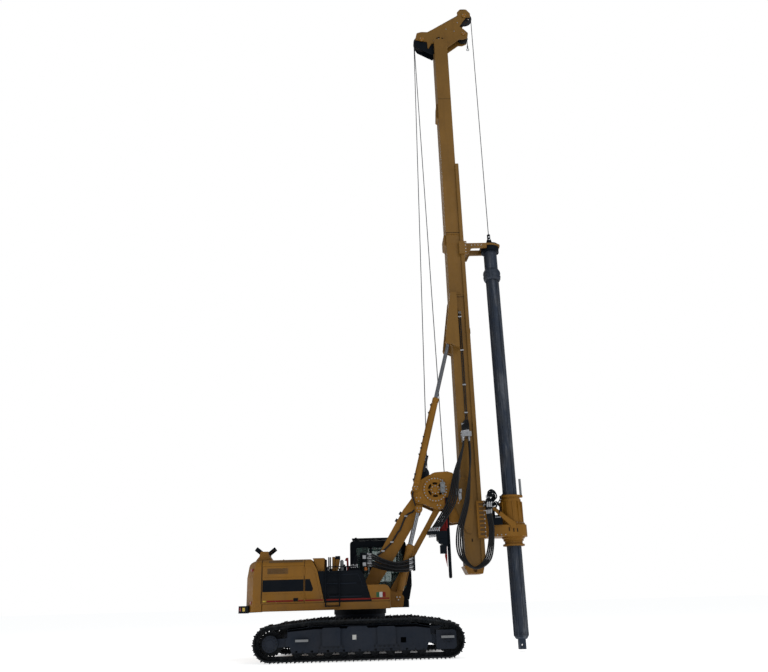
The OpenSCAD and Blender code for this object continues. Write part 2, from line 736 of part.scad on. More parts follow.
module side_windows(y0, y1) {
  plate(y0, y1) polygon(rounded([[cab_rear + 200, window_sill, 60], [cab_rear + 200, window_head, 60],
    [cab_rear + 600, window_head, 60], [cab_rear + 600, window_sill, 60]]));
  plate(y0, y1) polygon(rounded([[cab_rear + 670, window_sill - 250, 60], [cab_rear + 670, window_head, 60],
    [nose_x - 150, window_head, 60], [cab_front - 160, cab_floor + 800, 60], [cab_front - 160, window_sill - 250, 60]]));
}
module rear_window() {
  block(cab_rear - 10, cab_rear + 2 * cab_t, cab_in + 130, cab_out - 130, window_sill + 150, window_head - 40);
}
module front_window() {
  block(cab_front - 400, cab_front + 100, cab_in + 100, cab_out - 100, cab_floor + 480, window_head);
}

glass_t = 12;
module cab_glass() {
  color(glass) {
    side_windows(cab_in + 20, cab_in + 20 + glass_t);
    block(cab_rear + 20, cab_rear + 20 + glass_t, cab_in + 130, cab_out - 130, window_sill + 150, window_head - 40);
    intersection() {
      front_window();
      plate(cab_in + 100, cab_out - 100) difference() {
        polygon(cab_outline(20));
        polygon(cab_outline(20 + glass_t));
      }
    }
  }
}

module cab_door() {
  z0 = cab_door_z0;
  z1 = cab_door_z1;
  color(black) {
    difference() {
      block(door_x0, door_x1, cab_out - cab_t, cab_out, z0, z1);
      block(door_x0 + 80, door_x1 - 80, cab_out - 2 * cab_t, cab_out + 10, window_sill, z1 - 80);
    }
    for (z = [z0 + 150, z1 - 300]) {
      translate([door_x0 - gap - 25, cab_out + hinge_r, z]) cylinder(r = hinge_r, h = 140);
      block(door_x0 - gap - 25, door_x0 + 40, cab_out, cab_out + 10, z, z + 140);
    }
  }
  color(glass) block(door_x0 + 80, door_x1 - 80, cab_out - 36, cab_out - 24, window_sill, z1 - 80);
}

// Roof guard over the cab
module cab_guard() {
  z = cab_top;
  color(black) {
    for (x = [cab_rear + 150, nose_x - 300]) for (y = [cab_in + 60, cab_out - 120])
      block(x, x + 60, y, y + 60, z, z + 60);
    for (k = [0 : 8]) block(cab_rear + 60, nose_x - 60, cab_in + 40 + k * 105, cab_in + 80 + k * 105, z + 60, z + 90);
    for (x = [cab_rear + 150, nose_x - 300]) block(x, x + 60, cab_in + 40, cab_in + 920, z + 90, z + 110);
  }
}

module seat() {
  x = cab_rear + 430;
  y = (cab_in + cab_out) / 2;
  z = cab_floor + cab_t;
  color(black) {
    block(x, x + 460, y - 160, y + 160, z, z + 380);
    translate([0, y + 250, 0]) rotate([90, 0, 0]) linear_extrude(500) polygon(rounded([
      [x - 60, z + 380, 30], [x + 520, z + 380, 40], [x + 520, z + 480, 40], [x + 90, z + 500, 30],
      [x + 20, z + 1130, 50], [x - 110, z + 1130, 50]]));
    for (s = [-1, 1]) block(x + 80, x + 480, y + s * 320 - 50, y + s * 320 + 50, z, z + 590);
  }
}

// Hose post beside the cab, and the bundle that hangs from it to the struts
post_x = 60;
post_y = -430;
port_low = 2480;
port_high = 2680;
module hose_post() {
  color(black) {
    block(post_x - 40, post_x + 40, post_y - 90, post_y + 20, deck_top, port_high + 110);
    for (z = [port_low, port_high]) block(post_x + 39, post_x + 170, post_y - 170, post_y + 40, z - 95, z + 95);
  }
}

// A tube swept along points, with its rings square to the path
function ring_frame(t) = let (side = unit(cross(t, [0, 1, 0]))) [side, cross(side, t)];
module sweep(pts, r, sides = 8, first = undef, last = undef) {
  n = len(pts);
  dirs = [for (i = [0 : n - 1])
    i == 0 && !is_undef(first) ? first : i == n - 1 && !is_undef(last) ? last
      : unit(pts[min(i + 1, n - 1)] - pts[max(i - 1, 0)])];
  verts = [for (i = [0 : n - 1]) let (f = ring_frame(dirs[i])) for (k = [0 : sides - 1])
    pts[i] + r * (f[0] * cos(k * 360 / sides) + f[1] * sin(k * 360 / sides))];
  faces = concat(
    [[for (k = [0 : sides - 1]) k]],
    [for (i = [0 : n - 2]) for (k = [0 : sides - 1])
      let (a = i * sides + k, b = i * sides + (k + 1) % sides) [a, a + sides, b + sides, b]],
    [[for (k = [sides - 1 : -1 : 0]) (n - 1) * sides + k]]);
  polyhedron(verts, faces, convexity = 6);
}
// A point on the smooth curve through four points, between the second and third
function smooth(a, b, c, d, t) =
  0.5 * (2 * b + (c - a) * t + (2 * a - 5 * b + 4 * c - d) * t * t + (3 * b - a - 3 * c + d) * t * t * t);
function smooth_path(p, n = 5) =
  let (k = len(p))
  concat([for (i = [0 : k - 2]) for (j = [0 : n - 1])
    smooth(p[max(i - 1, 0)], p[i], p[i + 1], p[min(i + 2, k - 1)], j / n)], [p[k - 1]]);

hose_r = 24;
deck_hose_r = 27;
strut_clamp_x = 1560;
strut_clamp_y = -790;
module deck_hoses() {
  color(black) for (k = [0 : 5]) {
    y = post_y - 120 + 62 * (k % 2);
    far_y = strut_clamp_y + 62 * (k % 2);
    z = port_high + 60 - 60 * k - (k > 2 ? 20 : 0);
    sag_z = 2470 - 46 * k;
    far_z = 2580 - 56 * k;
    sweep(smooth_path([
      [post_x + 170 + fit, y, z], [post_x + 320, y - 20, z - 12], [post_x + 640, (y + far_y) / 2, (z + 2 * sag_z) / 3 + 10],
      [post_x + 1000, far_y, sag_z], [strut_clamp_x - 200, far_y, far_z - 60], [strut_clamp_x - fit, far_y, far_z]], 4),
      deck_hose_r, first = [1, 0, 0], last = [1, 0, 0]);
  }
}

// Boom, drawn along +Z from its foot pin with its upper edge towards -X
module boom() {
  h = boom_depth / 2;
  color(yellow) difference() {
    aim(boom_pin, head_pin) plate(-boom_half, boom_half) polygon(rounded([
      [-160, -150, 140], [150, -150, 140], [h - 20, 800, 200], [h + 20, boom_l - 420, 200], [162, boom_l + 162, 150],
      [-162, boom_l + 162, 150], [-h - 10, boom_l - 500, 200], [-h, 800, 200]]));
    aim(boom_pin, head_pin) plate(-boom_half + 30, boom_half - 30) polygon([
      [-h + 40, 820], [h - 60, 820], [h - 20, boom_l - 450], [-h + 30, boom_l - 520]]);
    across(boom_pin, -400, 400, 70 + fit);
    across(head_pin, -400, 400, 70 + fit);
  }
  color(steel) {
    across(boom_pin, -carrier_in - 70, carrier_in + 70, 70);
  }
  color(yellow) both() across(lift_eye, boom_half - 1, lift_y + 75, 50);
}

module struts() {
  color(yellow) difference() {
    both() {
      aim(strut_pin, strut_top) plate(125, 275) polygon(rounded([
        [-95, -95, 90], [95, -95, 90], [80, 500, 100], [80, boom_l - 500, 100], [95, boom_l + 95, 90],
        [-95, boom_l + 95, 90], [-80, boom_l - 500, 100], [-80, 500, 100]]));
    }
    across(strut_pin, -400, 400, 60 + fit);
    across(strut_top, -400, 400, 60 + fit);
  }
  color(yellow) for (z = [900, 2000]) aim(strut_pin, strut_top) block(-50, 50, -126, 126, z, z + 200);
  color(yellow) {
    block(strut_clamp_x - 200, strut_clamp_x + 30, -320, -250, 2300, 2440);
    block(strut_clamp_x, strut_clamp_x + 40, strut_clamp_y - 110, -295, 2250, 2640);
  }
  color(steel) across(strut_pin, -430, 430, 60);
}

// Hydraulic cylinders: barrel from its foot eye, rod up to its top eye
barrel_r = 100;
rod_r = 55;
eye_play = 24;
neck = 220;
module barrel(foot, eye, y, reach, r, eye_w, pin_r) {
  length = reach;
  color(yellow) difference() {
    union() {
      aim(foot, eye, y) translate([0, 0, neck]) cylinder(r = r, h = length - neck);
      aim(foot, eye, y) block(-pin_r - 22, pin_r + 22, -eye_w / 2, eye_w / 2, 0, neck + 1);
      aim(foot, eye, y) translate([0, 0, length - 130]) cylinder(r = r + 12, h = 130);
      across(foot, y - eye_w / 2, y + eye_w / 2, pin_r + 55);
    }
    across(foot, y - eye_w, y + eye_w, pin_r + fit);
    aim(foot, eye, y) translate([0, 0, neck + 60]) cylinder(r = rod_r + fit, h = length);
  }
  color(steel) across(foot, y - eye_w / 2 - 75, y + eye_w / 2 + 75, pin_r);
}
module rod(foot, eye, y, inside, eye_w, pin_r) {
  length = norm(eye - foot);
  color(steel) difference() {
    union() {
      aim(foot, eye, y) translate([0, 0, inside]) cylinder(r = rod_r, h = length - inside - pin_r - eye_play - 10);
      across(eye, y - eye_w / 2, y + eye_w / 2, pin_r + eye_play + 40);
    }
    across(eye, y - eye_w, y + eye_w, pin_r + eye_play);
  }
}
lift_reach = 1500;
ram_reach = 2850;
module lift_barrels() { for (s = [-1, 1]) barrel(lift_foot, lift_eye, s * lift_y, lift_reach, barrel_r, 120, 55); }
module lift_rods() { for (s = [-1, 1]) rod(lift_foot, lift_eye, s * lift_y, lift_reach - 650, 120, 50); }
module ram_barrels() { for (s = [-1, 1]) barrel(ram_foot, ram_eye, s * ram_y, ram_reach, 90, 120, 55); }
module ram_rods() { for (s = [-1, 1]) rod(ram_foot, ram_eye, s * ram_y, ram_reach - 700, 120, 50); }

// Mast carrier: two side plates that hold boom head, struts, winch and mast
module mast_carrier() {
  color(yellow) {
    difference() {
      plates(carrier_in, carrier_out) polygon(rounded([
        [head_pin[0] - 190, head_pin[1] + 220, 90], [head_pin[0] - 60, head_pin[1] + 480, 80],
        [head_pin[0] + 500, head_pin[1] + 780, 300], [head_pin[0] + 900, head_pin[1] + 800, 80],
        [tilt_pin[0] - 115, tilt_pin[1] + 850, 40], [tilt_pin[0] + 70, tilt_pin[1] + 60, 60],
        [tilt_pin[0] + 60, tilt_pin[1] - 600, 80], [tilt_pin[0] - 260, tilt_pin[1] - 640, 100],
        [strut_top[0] + 140, strut_top[1] - 60, 60], [strut_top[0] - 60, strut_top[1] - 110, 60],
        [head_pin[0] + 130, head_pin[1] - 150, 60], [head_pin[0] - 130, head_pin[1] - 130, 110]]));
      across(winch_c, -500, 500, 240);
      across(tilt_pin, -500, 500, 70 + fit);
      across(head_pin, -500, 500, 70 + fit);
      across(strut_top, -500, 500, 60 + fit);
      across(ram_foot, -500, 500, 55 + fit);
    }
    block(tilt_pin[0] - 260, tilt_pin[0] - 160, -carrier_in, carrier_in, tilt_z - 560, tilt_z - 100);
    block(head_pin[0] + 50, head_pin[0] + 150, -carrier_in, carrier_in, head_pin[1] + 440, head_pin[1] + 500);
  }
  color(steel) {
    across(tilt_pin, -carrier_out - 45, carrier_out + 45, 70);
    across(head_pin, -carrier_out, carrier_out, 70);
    across(strut_top, -carrier_out, carrier_out, 60);
  }
}

// Winch end flanges and axles, bolted to the carrier
flange_t = 26;
module winch_frame() {
  color(yellow) {
    both() difference() {
      union() {
        across(winch_c, carrier_out, carrier_out + flange_t, 370);
        across(winch_c, carrier_in - 5, carrier_out, 240 - fit);
      }
      across(winch_c, carrier_in + 25, carrier_out + flange_t + 1, 222);
    }
    both() across(winch_c, carrier_in + 24, carrier_out + flange_t - 6, 155);
    both() translate([winch_c[0], 0, winch_c[1]]) for (k = [0 : 5]) rotate([0, k * 60, 0])
      block(120, 225, carrier_in + 24, carrier_out + flange_t - 10, -28, 28);
    for (s = [-1, 1]) aux_cheek(s);
  }
  color(grey) {
    across(winch_c, -carrier_in + 5, carrier_in - 5, 110);
    across(aux_c, -240, 240, 60);
  }
}
module aux_cheek(s) {
  plate(s > 0 ? 225 : -255, s > 0 ? 255 : -225) polygon(rounded([
    [aux_c[0] - 100, aux_c[1] - 270, 0], [aux_c[0], aux_c[1] - 270, 0],
    [aux_c[0] + 160, aux_c[1] + 120, 80], [aux_c[0] - 140, aux_c[1] + 120, 80]]));
}

module drum(c, half, rim_r, rope_r, axle_r, rim_t) {
  color(grey) translate([c[0], 0, c[1]]) rotate([90, 0, 0]) rotate_extrude() polygon([
    [axle_r + fit, -half], [rim_r, -half], [rim_r, -half + rim_t], [rope_r, -half + rim_t],
    [rope_r, half - rim_t], [rim_r, half - rim_t], [rim_r, half], [axle_r + fit, half]]);
}
module main_winch() { drum(winch_c, carrier_in - 12, winch_r + 20, winch_r - rope_d - 2, 110, 24); }
module aux_winch() { drum(aux_c, 220, 220, 160, 60, 18); }

// Black hose rack with a red guard under the carrier
rack = [tilt_pin[0] - 420, tilt_pin[1] - 640];
module hose_rack() {
  y = -carrier_out - 50;
  color(black) {
    translate([rack[0] + 70, y, rack[1] - 1500]) cylinder(r = 48, h = 2250, $fn = 32);
    plate(clamp_y - 4 * hose_step - 60, y + 50) polygon(rounded([[rack[0] - 290, rack[1] - 480, 30],
      [rack[0] - 100, rack[1] - 660, 30], [rack[0] + 10, rack[1] - 660, 0], [rack[0] + 10, rack[1] - 240, 0],
      [rack[0] - 290, rack[1] - 240, 30]]));
    block(rack[0] - 560, rack[0] - 260, clamp_y - 4 * hose_step - 60, y + 50, rack[1] - 320, rack[1] - 240);
    block(rack[0] + 40, rack[0] + 100, y, -carrier_out, rack[1] + 640, rack[1] + 740);
    block(rack[0] + 9, rack[0] + 60, y - 30, y + 30, rack[1] - 600, rack[1] - 300);
  }
  color([0.6, 0.08, 0.08]) plate(y - 20, y + 20)
    polygon([[rack[0] - 200, rack[1] - 241], [rack[0] + 31, rack[1] - 241], [rack[0] + 31, rack[1] + 300]]);
}

// Mast: a welded box with guide rails, cheeks at the tilt pin and brackets for the rams
module mast() {
  color(yellow) {
    difference() {
      block(mast_x, mast_front, -mast_half, mast_half, mast_foot + 230, mast_top);
      block(mast_x + mast_wall, mast_front - mast_wall, -mast_half + mast_wall, mast_half - mast_wall,
        mast_foot, mast_top + 10);
      for (s = [-1, 1]) plate(s * mast_half - 30, s * mast_half + 30)
        polygon([[mast_x + 220, 10050], [mast_x + 290, 10050], [mast_x + 235, 10450]]);
    }
    both() block(mast_front, rail_front, rail_in, rail_out, mast_foot + 230, rail_top);
    both() block(mast_front - mast_wall, mast_front, mast_half, rail_out, mast_foot + 230, rail_top);
    both() difference() {
      plate(mast_half + fit, mast_half + 45) polygon(rounded([[tilt_pin[0] - 130, tilt_z - 110, 100],
        [mast_x + 60, tilt_z - 900, 60], [mast_x + 240, tilt_z - 960, 60], [mast_x + 330, tilt_z - 300, 100],
        [mast_x + 330, tilt_z + 600, 60], [mast_x + 20, tilt_z + 760, 60], [tilt_pin[0] - 130, tilt_z + 150, 100]]));
      across(tilt_pin, 0, 600, 70 + fit);
    }
    both() ram_bracket();
    plate(-300, 300) polygon(rounded([[mast_x - 80, 12760, 20], [mast_x, 12700, 0], [mast_x, 13120, 0], [mast_x - 80, 13100, 20]]));
    plate(-200, 200) polygon(rounded([[mast_x - 80, 17960, 20], [mast_x, 17900, 0], [mast_x, 18560, 0], [mast_x - 50, 18520, 20]]));
    block(mast_front, rail_front + 60, -110, 110, 9620, 9800);
    for (z = [10900, 13110]) both() block(mast_x + 20, mast_front - 100, mast_half, mast_half + 25, z, z + 40);
  }
}

// Fairing and fork that hold a ram's eye beside the mast
module ram_bracket() {
  e = ram_eye;
  color(yellow) difference() {
    plate(mast_half + fit, ram_y + 110) polygon(rounded([[mast_x, e[1] + 1660, 0], [e[0] - 90, e[1] + 150, 40],
      [e[0] - 100, e[1] - 90, 70], [e[0] + 60, e[1] - 110, 70], [mast_x + 200, e[1] - 250, 0],
      [mast_x + 200, e[1] + 1660, 0]]));
    plate(ram_y - 66, ram_y + 66) polygon([[e[0] - 400, e[1] - 500], [mast_x + 20, e[1] - 500], [mast_x + 20, e[1] + 150],
      [e[0] - 400, e[1] + 150]]);
  }
  color(steel) across(e, mast_half + 40, ram_y + 90, 50);
}

module mast_foot_block() {
  color(yellow) difference() {
    plate(-mast_half - 30, mast_half + 30) polygon(rounded([[mast_x + 50, mast_foot, 30], [mast_front, mast_foot, 30],
      [rail_front - 40, mast_foot + 230, 0], [mast_x - 60, mast_foot + 230, 0]]));
    both() across([mast_x + 260, mast_foot + 110], mast_half - 60, mast_half + 40, 60);
  }
}

// Head of the mast: two plates that hold the sheaves
head_in = 160;
head_t = 36;
module mast_head() {
  f = front_sheave;
  r = rear_sheave;
  a = aux_sheave;
  rear = mast_x - 5;
  front = mast_front + 5;
  color(yellow) {
    difference() {
      plates(head_in, head_in + head_t) polygon(rounded([
        [mast_x + 20, mast_top, 0], [mast_x - 70, mast_top, 0], [mast_x - 240, mast_top - 280, 20], [mast_x - 250, r[1] - 100, 20],
        [r[0] - 250, r[1], 40], [r[0] - 180, r[1] + 310, 80], [r[0], r[1] + 360, 60], [r[0] + 230, r[1] + 350, 30],
        [f[0] - 250, f[1], 40], [f[0] - 270, f[1] + 170, 60], [f[0] - 150, f[1] + 315, 70], [f[0] + 90, f[1] + 315, 100],
        [f[0] + 240, f[1] + 110, 80], [f[0] + 230, f[1] - 50, 30], [f[0] + 60, f[1] - 60, 40], [f[0] - 220, f[1] - 500, 60],
        [a[0] + 20, a[1] + 230, 60], [a[0] + 180, a[1] + 40, 80], [a[0] + 150, a[1] - 160, 60], [a[0] - 20, a[1] - 250, 40],
        [a[0] - 180, a[1] - 240, 0], [front, mast_top - 210, 0], [front, mast_top, 0]]));
      across(f, -300, 300, 60 + fit);
      across(r, -300, 300, 60 + fit);
      across(a, -300, 300, 40 + fit);
    }
    block(mast_x, mast_front, -mast_half, mast_half, mast_top, mast_top + 40);
    block(mast_x + 60, mast_front - 60, -head_in, head_in, mast_top + 40, mast_top + 400);
    for (s = [-1, 1]) plate(s > 0 ? head_in + head_t : -mast_half, s > 0 ? mast_half : -head_in - head_t)
      polygon([[mast_x + 200, mast_top + 40], [mast_x + 280, mast_top + 40], [mast_x + 280, mast_top + 240]]);
    block(mast_x + 300, mast_x + 380, -head_in, head_in, mast_top + 620, mast_top + 800);
  }
  color(black) plates(head_in - 16, head_in + 1) polygon([[r[0] - 200, r[1] + 50], [r[0] - 290, r[1] - 140],
    [r[0] - 170, r[1] - 350], [mast_x - 60, mast_top - 510], [rear, mast_top - 440], [rear, mast_top - 5], [r[0] + 230, r[1] - 30]]);
  color(steel) {
    across(f, -head_in - head_t - 20, head_in + head_t + 20, 60);
    across(r, -head_in - head_t - 20, head_in + head_t + 20, 60);
    across(a, -head_in - head_t - 10, head_in + head_t + 10, 40);
  }
}

// A grooved rope sheave round the point c
module sheave(c, y, r, axle_r) {
  rim = 26;
  half = 36;
  color(black) translate([c[0], y, c[1]]) rotate([90, 0, 0]) difference() {
    rotate_extrude() polygon([
      [axle_r + fit, -half - 6], [axle_r + 45, -half - 6], [axle_r + 45, -14], [r - 60, -14], [r - 50, -half],
      [r + rim, -half], [r + rim, -half + 10], [r - rope_d / 2 - 5, -rope_d / 2], [r - rope_d / 2 - 5, rope_d / 2],
      [r + rim, half - 10], [r + rim, half], [r - 50, half], [r - 60, 14], [axle_r + 45, 14], [axle_r + 45, half + 6],
      [axle_r + fit, half + 6]]);
    for (k = [0 : 5]) rotate(k * 60) translate([(r + axle_r) / 2 - 5, 0, 0]) cylinder(r = 38, h = 100, center = true, $fn = 24);
  }
}
aux_y = 95;
module rear_sheaves() {
  sheave(rear_sheave, 0, sheave_r, 60);
  sheave(rear_sheave, aux_y, sheave_r, 60);
}
module front_sheave() { sheave(front_sheave, 0, sheave_r, 60); }
module aux_front_sheave() { sheave(aux_sheave, aux_y, 170, 40); }

// Ropes: straight runs, and arcs where they lie on a sheave
function arc_points(c, r, from, to, y, n = 8) =
  [for (i = [0 : n]) let (t = from + (to - from) * i / n) [c[0] + r * cos(t), y, c[1] + r * sin(t)]];
head_slope = atan2(front_sheave[1] - rear_sheave[1], front_sheave[0] - rear_sheave[0]);
// The point where a rope that runs up to the rear sheaves leaves a drum at c
function leave_drum(c, r, y) =
  let (lean = atan2(c[0] + r - rear_sheave[0] + sheave_r, rear_sheave[1] - c[1])) [c[0] + r * cos(lean), y, c[1] + r * sin(lean)];
module main_rope() {
  color(steel) sweep(concat(
    [leave_drum(winch_c, winch_r - rope_d / 2 - 2 + fit, 0)],
    arc_points(rear_sheave, sheave_r, 180, 90 + head_slope, 0),
    arc_points(front_sheave, sheave_r, 90 + head_slope, 2, 0)), rope_d / 2);
}
module aux_rope() {
  a = aux_sheave;
  slope = atan2(a[1] + 170 - rear_sheave[1] - sheave_r, a[0] - rear_sheave[0]);
  color(steel) sweep(concat(
    [leave_drum(aux_c, 160 + rope_d / 2 + fit, aux_y)],
    arc_points(rear_sheave, sheave_r, 180, 90 + slope, aux_y),
    arc_points(a, 170, 90 + slope, 0, aux_y),
    [[a[0] + 170, aux_y, a[1] - 330]]), rope_d / 2);
}
swivel_top = 13250;
module kelly_rope() {
  color(steel) translate([kelly_x, 0, swivel_top]) cylinder(r = rope_d / 2, h = front_sheave[1] - swivel_top - 30, $fn = 16);
}

// Hoses from the clamp on the mast's right side down to the rack
clamp_z = 6080;
clamp_y = -mast_half - 145;
hose_step = 54;
module mast_hoses() {
  color(black) for (k = [0 : 4]) let (d = 58 * k, y = clamp_y - hose_step * k)
    sweep(smooth_path([
      [mast_x + 120, y, clamp_z - fit], [mast_x + 90, y, clamp_z - 300], [mast_x - 200 + d / 2, y, 5050],
      [mast_x - 450 + d, y, 4200], [mast_x - 800 + d, y, 3620], [mast_x - 1030 + d, y, rack[1] - 240 + fit]], 4), hose_r,
      first = [0, 0, -1], last = [0, 0, -1]);
}
module hose_clamp() {
  color(steel) {
    block(mast_x + 70, mast_x + 360, clamp_y - hose_step * 4 - 60, -mast_half, clamp_z, clamp_z + 150);
    block(mast_x + 110, mast_x + 230, -mast_half - 110, -mast_half, clamp_z + 300, clamp_z + 470);
  }
}

// Carriage of the rotary drive: plates in front of and claws behind the rails
sledge_z0 = 3110;
sledge_z1 = 4190;
claw_y = rail_out + slide_fit;
module carriage(z0, z1) {
  block(rail_front + slide_fit, rail_front + 80, -claw_y - 55, claw_y + 55, z0, z1);
  both() {
    block(mast_front - mast_wall - 60, rail_front + 80, claw_y, claw_y + 55, z0, z1);
    block(mast_front - mast_wall - 60, mast_front - mast_wall - slide_fit, mast_half + 6, claw_y + 55, z0, z1);
  }
}
module sledge() {
  color(yellow) {
    carriage(sledge_z0, sledge_z1);
    both() for (k = [0 : 8])
      block(mast_front - 30, rail_front + 60, claw_y + 55, claw_y + 85, sledge_z0 + 30 + k * 122, sledge_z0 + 75 + k * 122);
    both() plate(150, 190) polygon([[rail_front + 80, sledge_z0 + 400], [rail_front + 190, sledge_z0 + 400],
      [rail_front + 80, sledge_z1 - 60]]);
  }
}

// Rotary drive: gearbox block on an arm, with a ribbed guide tower
bore_r = kelly_r + 52;
gear_z0 = 3150;
gear_z1 = 3480;
module rotary_drive() {
  arm_x = rail_front + 80;
  color(yellow) {
    difference() {
      union() {
        linear_extrude_at(gear_z0, gear_z1 - gear_z0) polygon(rounded([[arm_x, -360, 0], [kelly_x - 150, -420, 60],
          [drive_front - 90, -420, 200], [drive_front, 0, 300], [drive_front - 90, 420, 200], [kelly_x - 150, 420, 60], [arm_x, 360, 0]], 6));
        translate([kelly_x, 0, gear_z1]) cylinder(r = 380, h = 60);
        translate([kelly_x, 0, gear_z1 + 60]) cylinder(r1 = 345, r2 = 300, h = drive_top - gear_z1 - 230);
        translate([kelly_x, 0, drive_top - 200]) cylinder(r = 310, h = 70);
        translate([kelly_x, 0, drive_top - 130]) cylinder(r = 285, h = 60);
        translate([kelly_x, 0, drive_top - 70]) cylinder(r = 318, h = 60);
        for (k = [0 : 11]) translate([kelly_x, 0, gear_z1 + 40]) rotate(k * 30)
          translate([0, -14, 0]) cube([352, 28, drive_top - gear_z1 - 250]);
      }
      translate([kelly_x, 0, gear_z0 - 10]) cylinder(r = bore_r, h = drive_top);
    }
    translate([kelly_x, 0, drive_top - 70]) block(290, 372, -60, 60, 0, 60);
    translate([kelly_x + 334, 0, drive_top - 11]) cylinder(r = 36, h = 500, $fn = 32);
    both() plate(310, 350) polygon([[arm_x, gear_z1], [kelly_x - 320, gear_z1], [arm_x + 120, gear_z1 + 420], [arm_x, gear_z1 + 420]]);
  }
}

motor_x = 330;
motor_y = 150;
port_z = 3920;
module drive_motors() {
  x = rail_front + motor_x;
  color(black) {
    both() translate([x, motor_y, gear_z1]) {
      cylinder(r = 105, h = 260);
      translate([0, 0, 260]) cylinder(r = 80, h = 240);
      block(-70, 70, -60, 60, 500, 640);
    }
    block(rail_front + 80, rail_front + 260, clamp_y - 34 - 4 * hose_step, -360, port_z, port_z + 250);
  }
}

// Hoses from the clamp down the mast's side, under its foot and up to the motors
module drive_hoses() {
  color(black) for (k = [0 : 3]) let (d = 40 * k, y = clamp_y - 34 - hose_step * k, x = rail_front + 115 + 34 * k)
    sweep(smooth_path([
      [mast_x + 290, y, clamp_z - fit], [mast_x + 280, y, 5300], [mast_x + 180 - d, y, 4200],
      [mast_x - 60 - 1.5 * d, y, 3300], [mast_x - 40 - 1.5 * d, y, 2620], [mast_x + 220, y, 2300 - d / 3],
      [mast_x + 560 + d, y, 2560 - d / 2], [x + 30, y, 3250], [x, y, port_z - 150], [x, y, port_z - fit]], 4), hose_r,
      first = [0, 0, -1], last = [0, 0, 1]);
}

// Sleeve that turns the kelly, with the casing flange under the gearbox
flange_holes = 12;
flange_pcd = 540;
sleeve_r = bore_r - 2;
sleeve_in = kelly_r + 26;
module drive_sleeve() {
  color(yellow) difference() {
    translate([kelly_x, 0, 0]) rotate_extrude() polygon([
      [sleeve_in, drive_foot], [320, drive_foot], [320, drive_foot + 50], [265, drive_foot + 70], [265, drive_foot + 130],
      [300, drive_foot + 150], [300, drive_foot + 200], [340, drive_foot + 220], [340, gear_z0 - fit], [sleeve_r, gear_z0 - fit],
      [sleeve_r, drive_top], [sleeve_in, drive_top]]);
    for (k = [0 : flange_holes - 1]) translate([kelly_x, 0, drive_foot - 10]) rotate((k + 0.5) * 360 / flange_holes)
      translate([flange_pcd / 2, 0, 0]) cylinder(r = 11, h = 60, $fn = 24);
  }
}

// Kelly guide: carriage on the rails with an arm to the kelly's bearing
guide_z0 = 12330;
guide_z1 = 12790;
arm_z0 = guide_z1 - 170;
guide_bore = 222;
module kelly_guide() {
  color(yellow) {
    carriage_open(guide_z0, guide_z1);
    both() plate(250, 330) polygon(rounded([[rail_front + 79, guide_z0 + 60, 0], [rail_front + 160, guide_z0 + 80, 30],
      [rail_front + 260, arm_z0, 60], [kelly_x - 150, arm_z0, 0], [kelly_x - 150, guide_z1, 0], [rail_front + 79, guide_z1, 0]]));
    difference() {
      linear_extrude_at(guide_z1 - 60, 60) polygon(rounded([[rail_front + 200, -330, 0], [kelly_x, -330, 0], [kelly_x + 330, -200, 120],
        [kelly_x + 330, 200, 120], [kelly_x, 330, 0], [rail_front + 200, 330, 0]]));
      translate([kelly_x, 0, guide_z0]) cylinder(r = guide_bore, h = 1000);
      block(rail_front + 200, kelly_x - 320, -240, 240, guide_z0, guide_z1 + 10);
    }
  }
  color(black) difference() {
    translate([kelly_x, 0, guide_z1 - 240]) cylinder(r = 300, h = 200);
    translate([kelly_x, 0, guide_z0]) cylinder(r = guide_bore, h = 1000);
  }
  color(black) swivel();
}
module carriage_open(z0, z1) {
  both() {
    block(rail_front + slide_fit, rail_front + 80, 160, claw_y + 55, z0, z1);
    block(mast_front - mast_wall - 60, rail_front + 80, claw_y, claw_y + 55, z0, z1);
    block(mast_front - mast_wall - 60, mast_front - mast_wall - slide_fit, mast_half + 6, claw_y + 55, z0, z1);
  }
}
// Rope swivel above the kelly, on a cap over the bearing
module swivel() {
  translate([kelly_x, 0, guide_z1]) cylinder(r = 300, h = 40);
  translate([kelly_x, 0, guide_z1 + 40]) cylinder(r1 = 120, r2 = 80, h = 200);
  translate([kelly_x, 0, guide_z1 + 240]) cylinder(r = 55, h = swivel_top - guide_z1 - 240);
}

// Kelly: collar, outer tube with drive ribs, shoulder and square stub with its pin hole
collar_z = 11500;
shoulder = kelly_foot + 270;
tube_in = 110;
rib_count = 6;
module kelly_bar() {
  r = kelly_r;
  color([0.12, 0.14, 0.18]) {
    difference() {
      union() {
        translate([kelly_x, 0, 0]) rotate_extrude() polygon([
          [tube_in, shoulder + 200], [tube_in, guide_z1 - 60], [guide_bore - fit, guide_z1 - 60], [guide_bore - fit, collar_z + 430],
          [280, collar_z + 330], [280, collar_z + 60], [250, collar_z], [r, collar_z], [r, shoulder + 60], [r - 40, shoulder],
          [0, shoulder], [0, shoulder + 200]]);
        for (k = [0 : rib_count - 1]) translate([kelly_x, 0, shoulder + 80]) rotate(k * 360 / rib_count)
          translate([r - 8, -16, 0]) cube([26, 32, collar_z - shoulder - 80]);
        block(kelly_x - stub_side / 2, kelly_x + stub_side / 2, -stub_side / 2, stub_side / 2, kelly_foot, shoulder + 1);
      }
      across([kelly_x, kelly_foot + 110], -stub_side, stub_side, stub_pin_r);
    }
  }
}

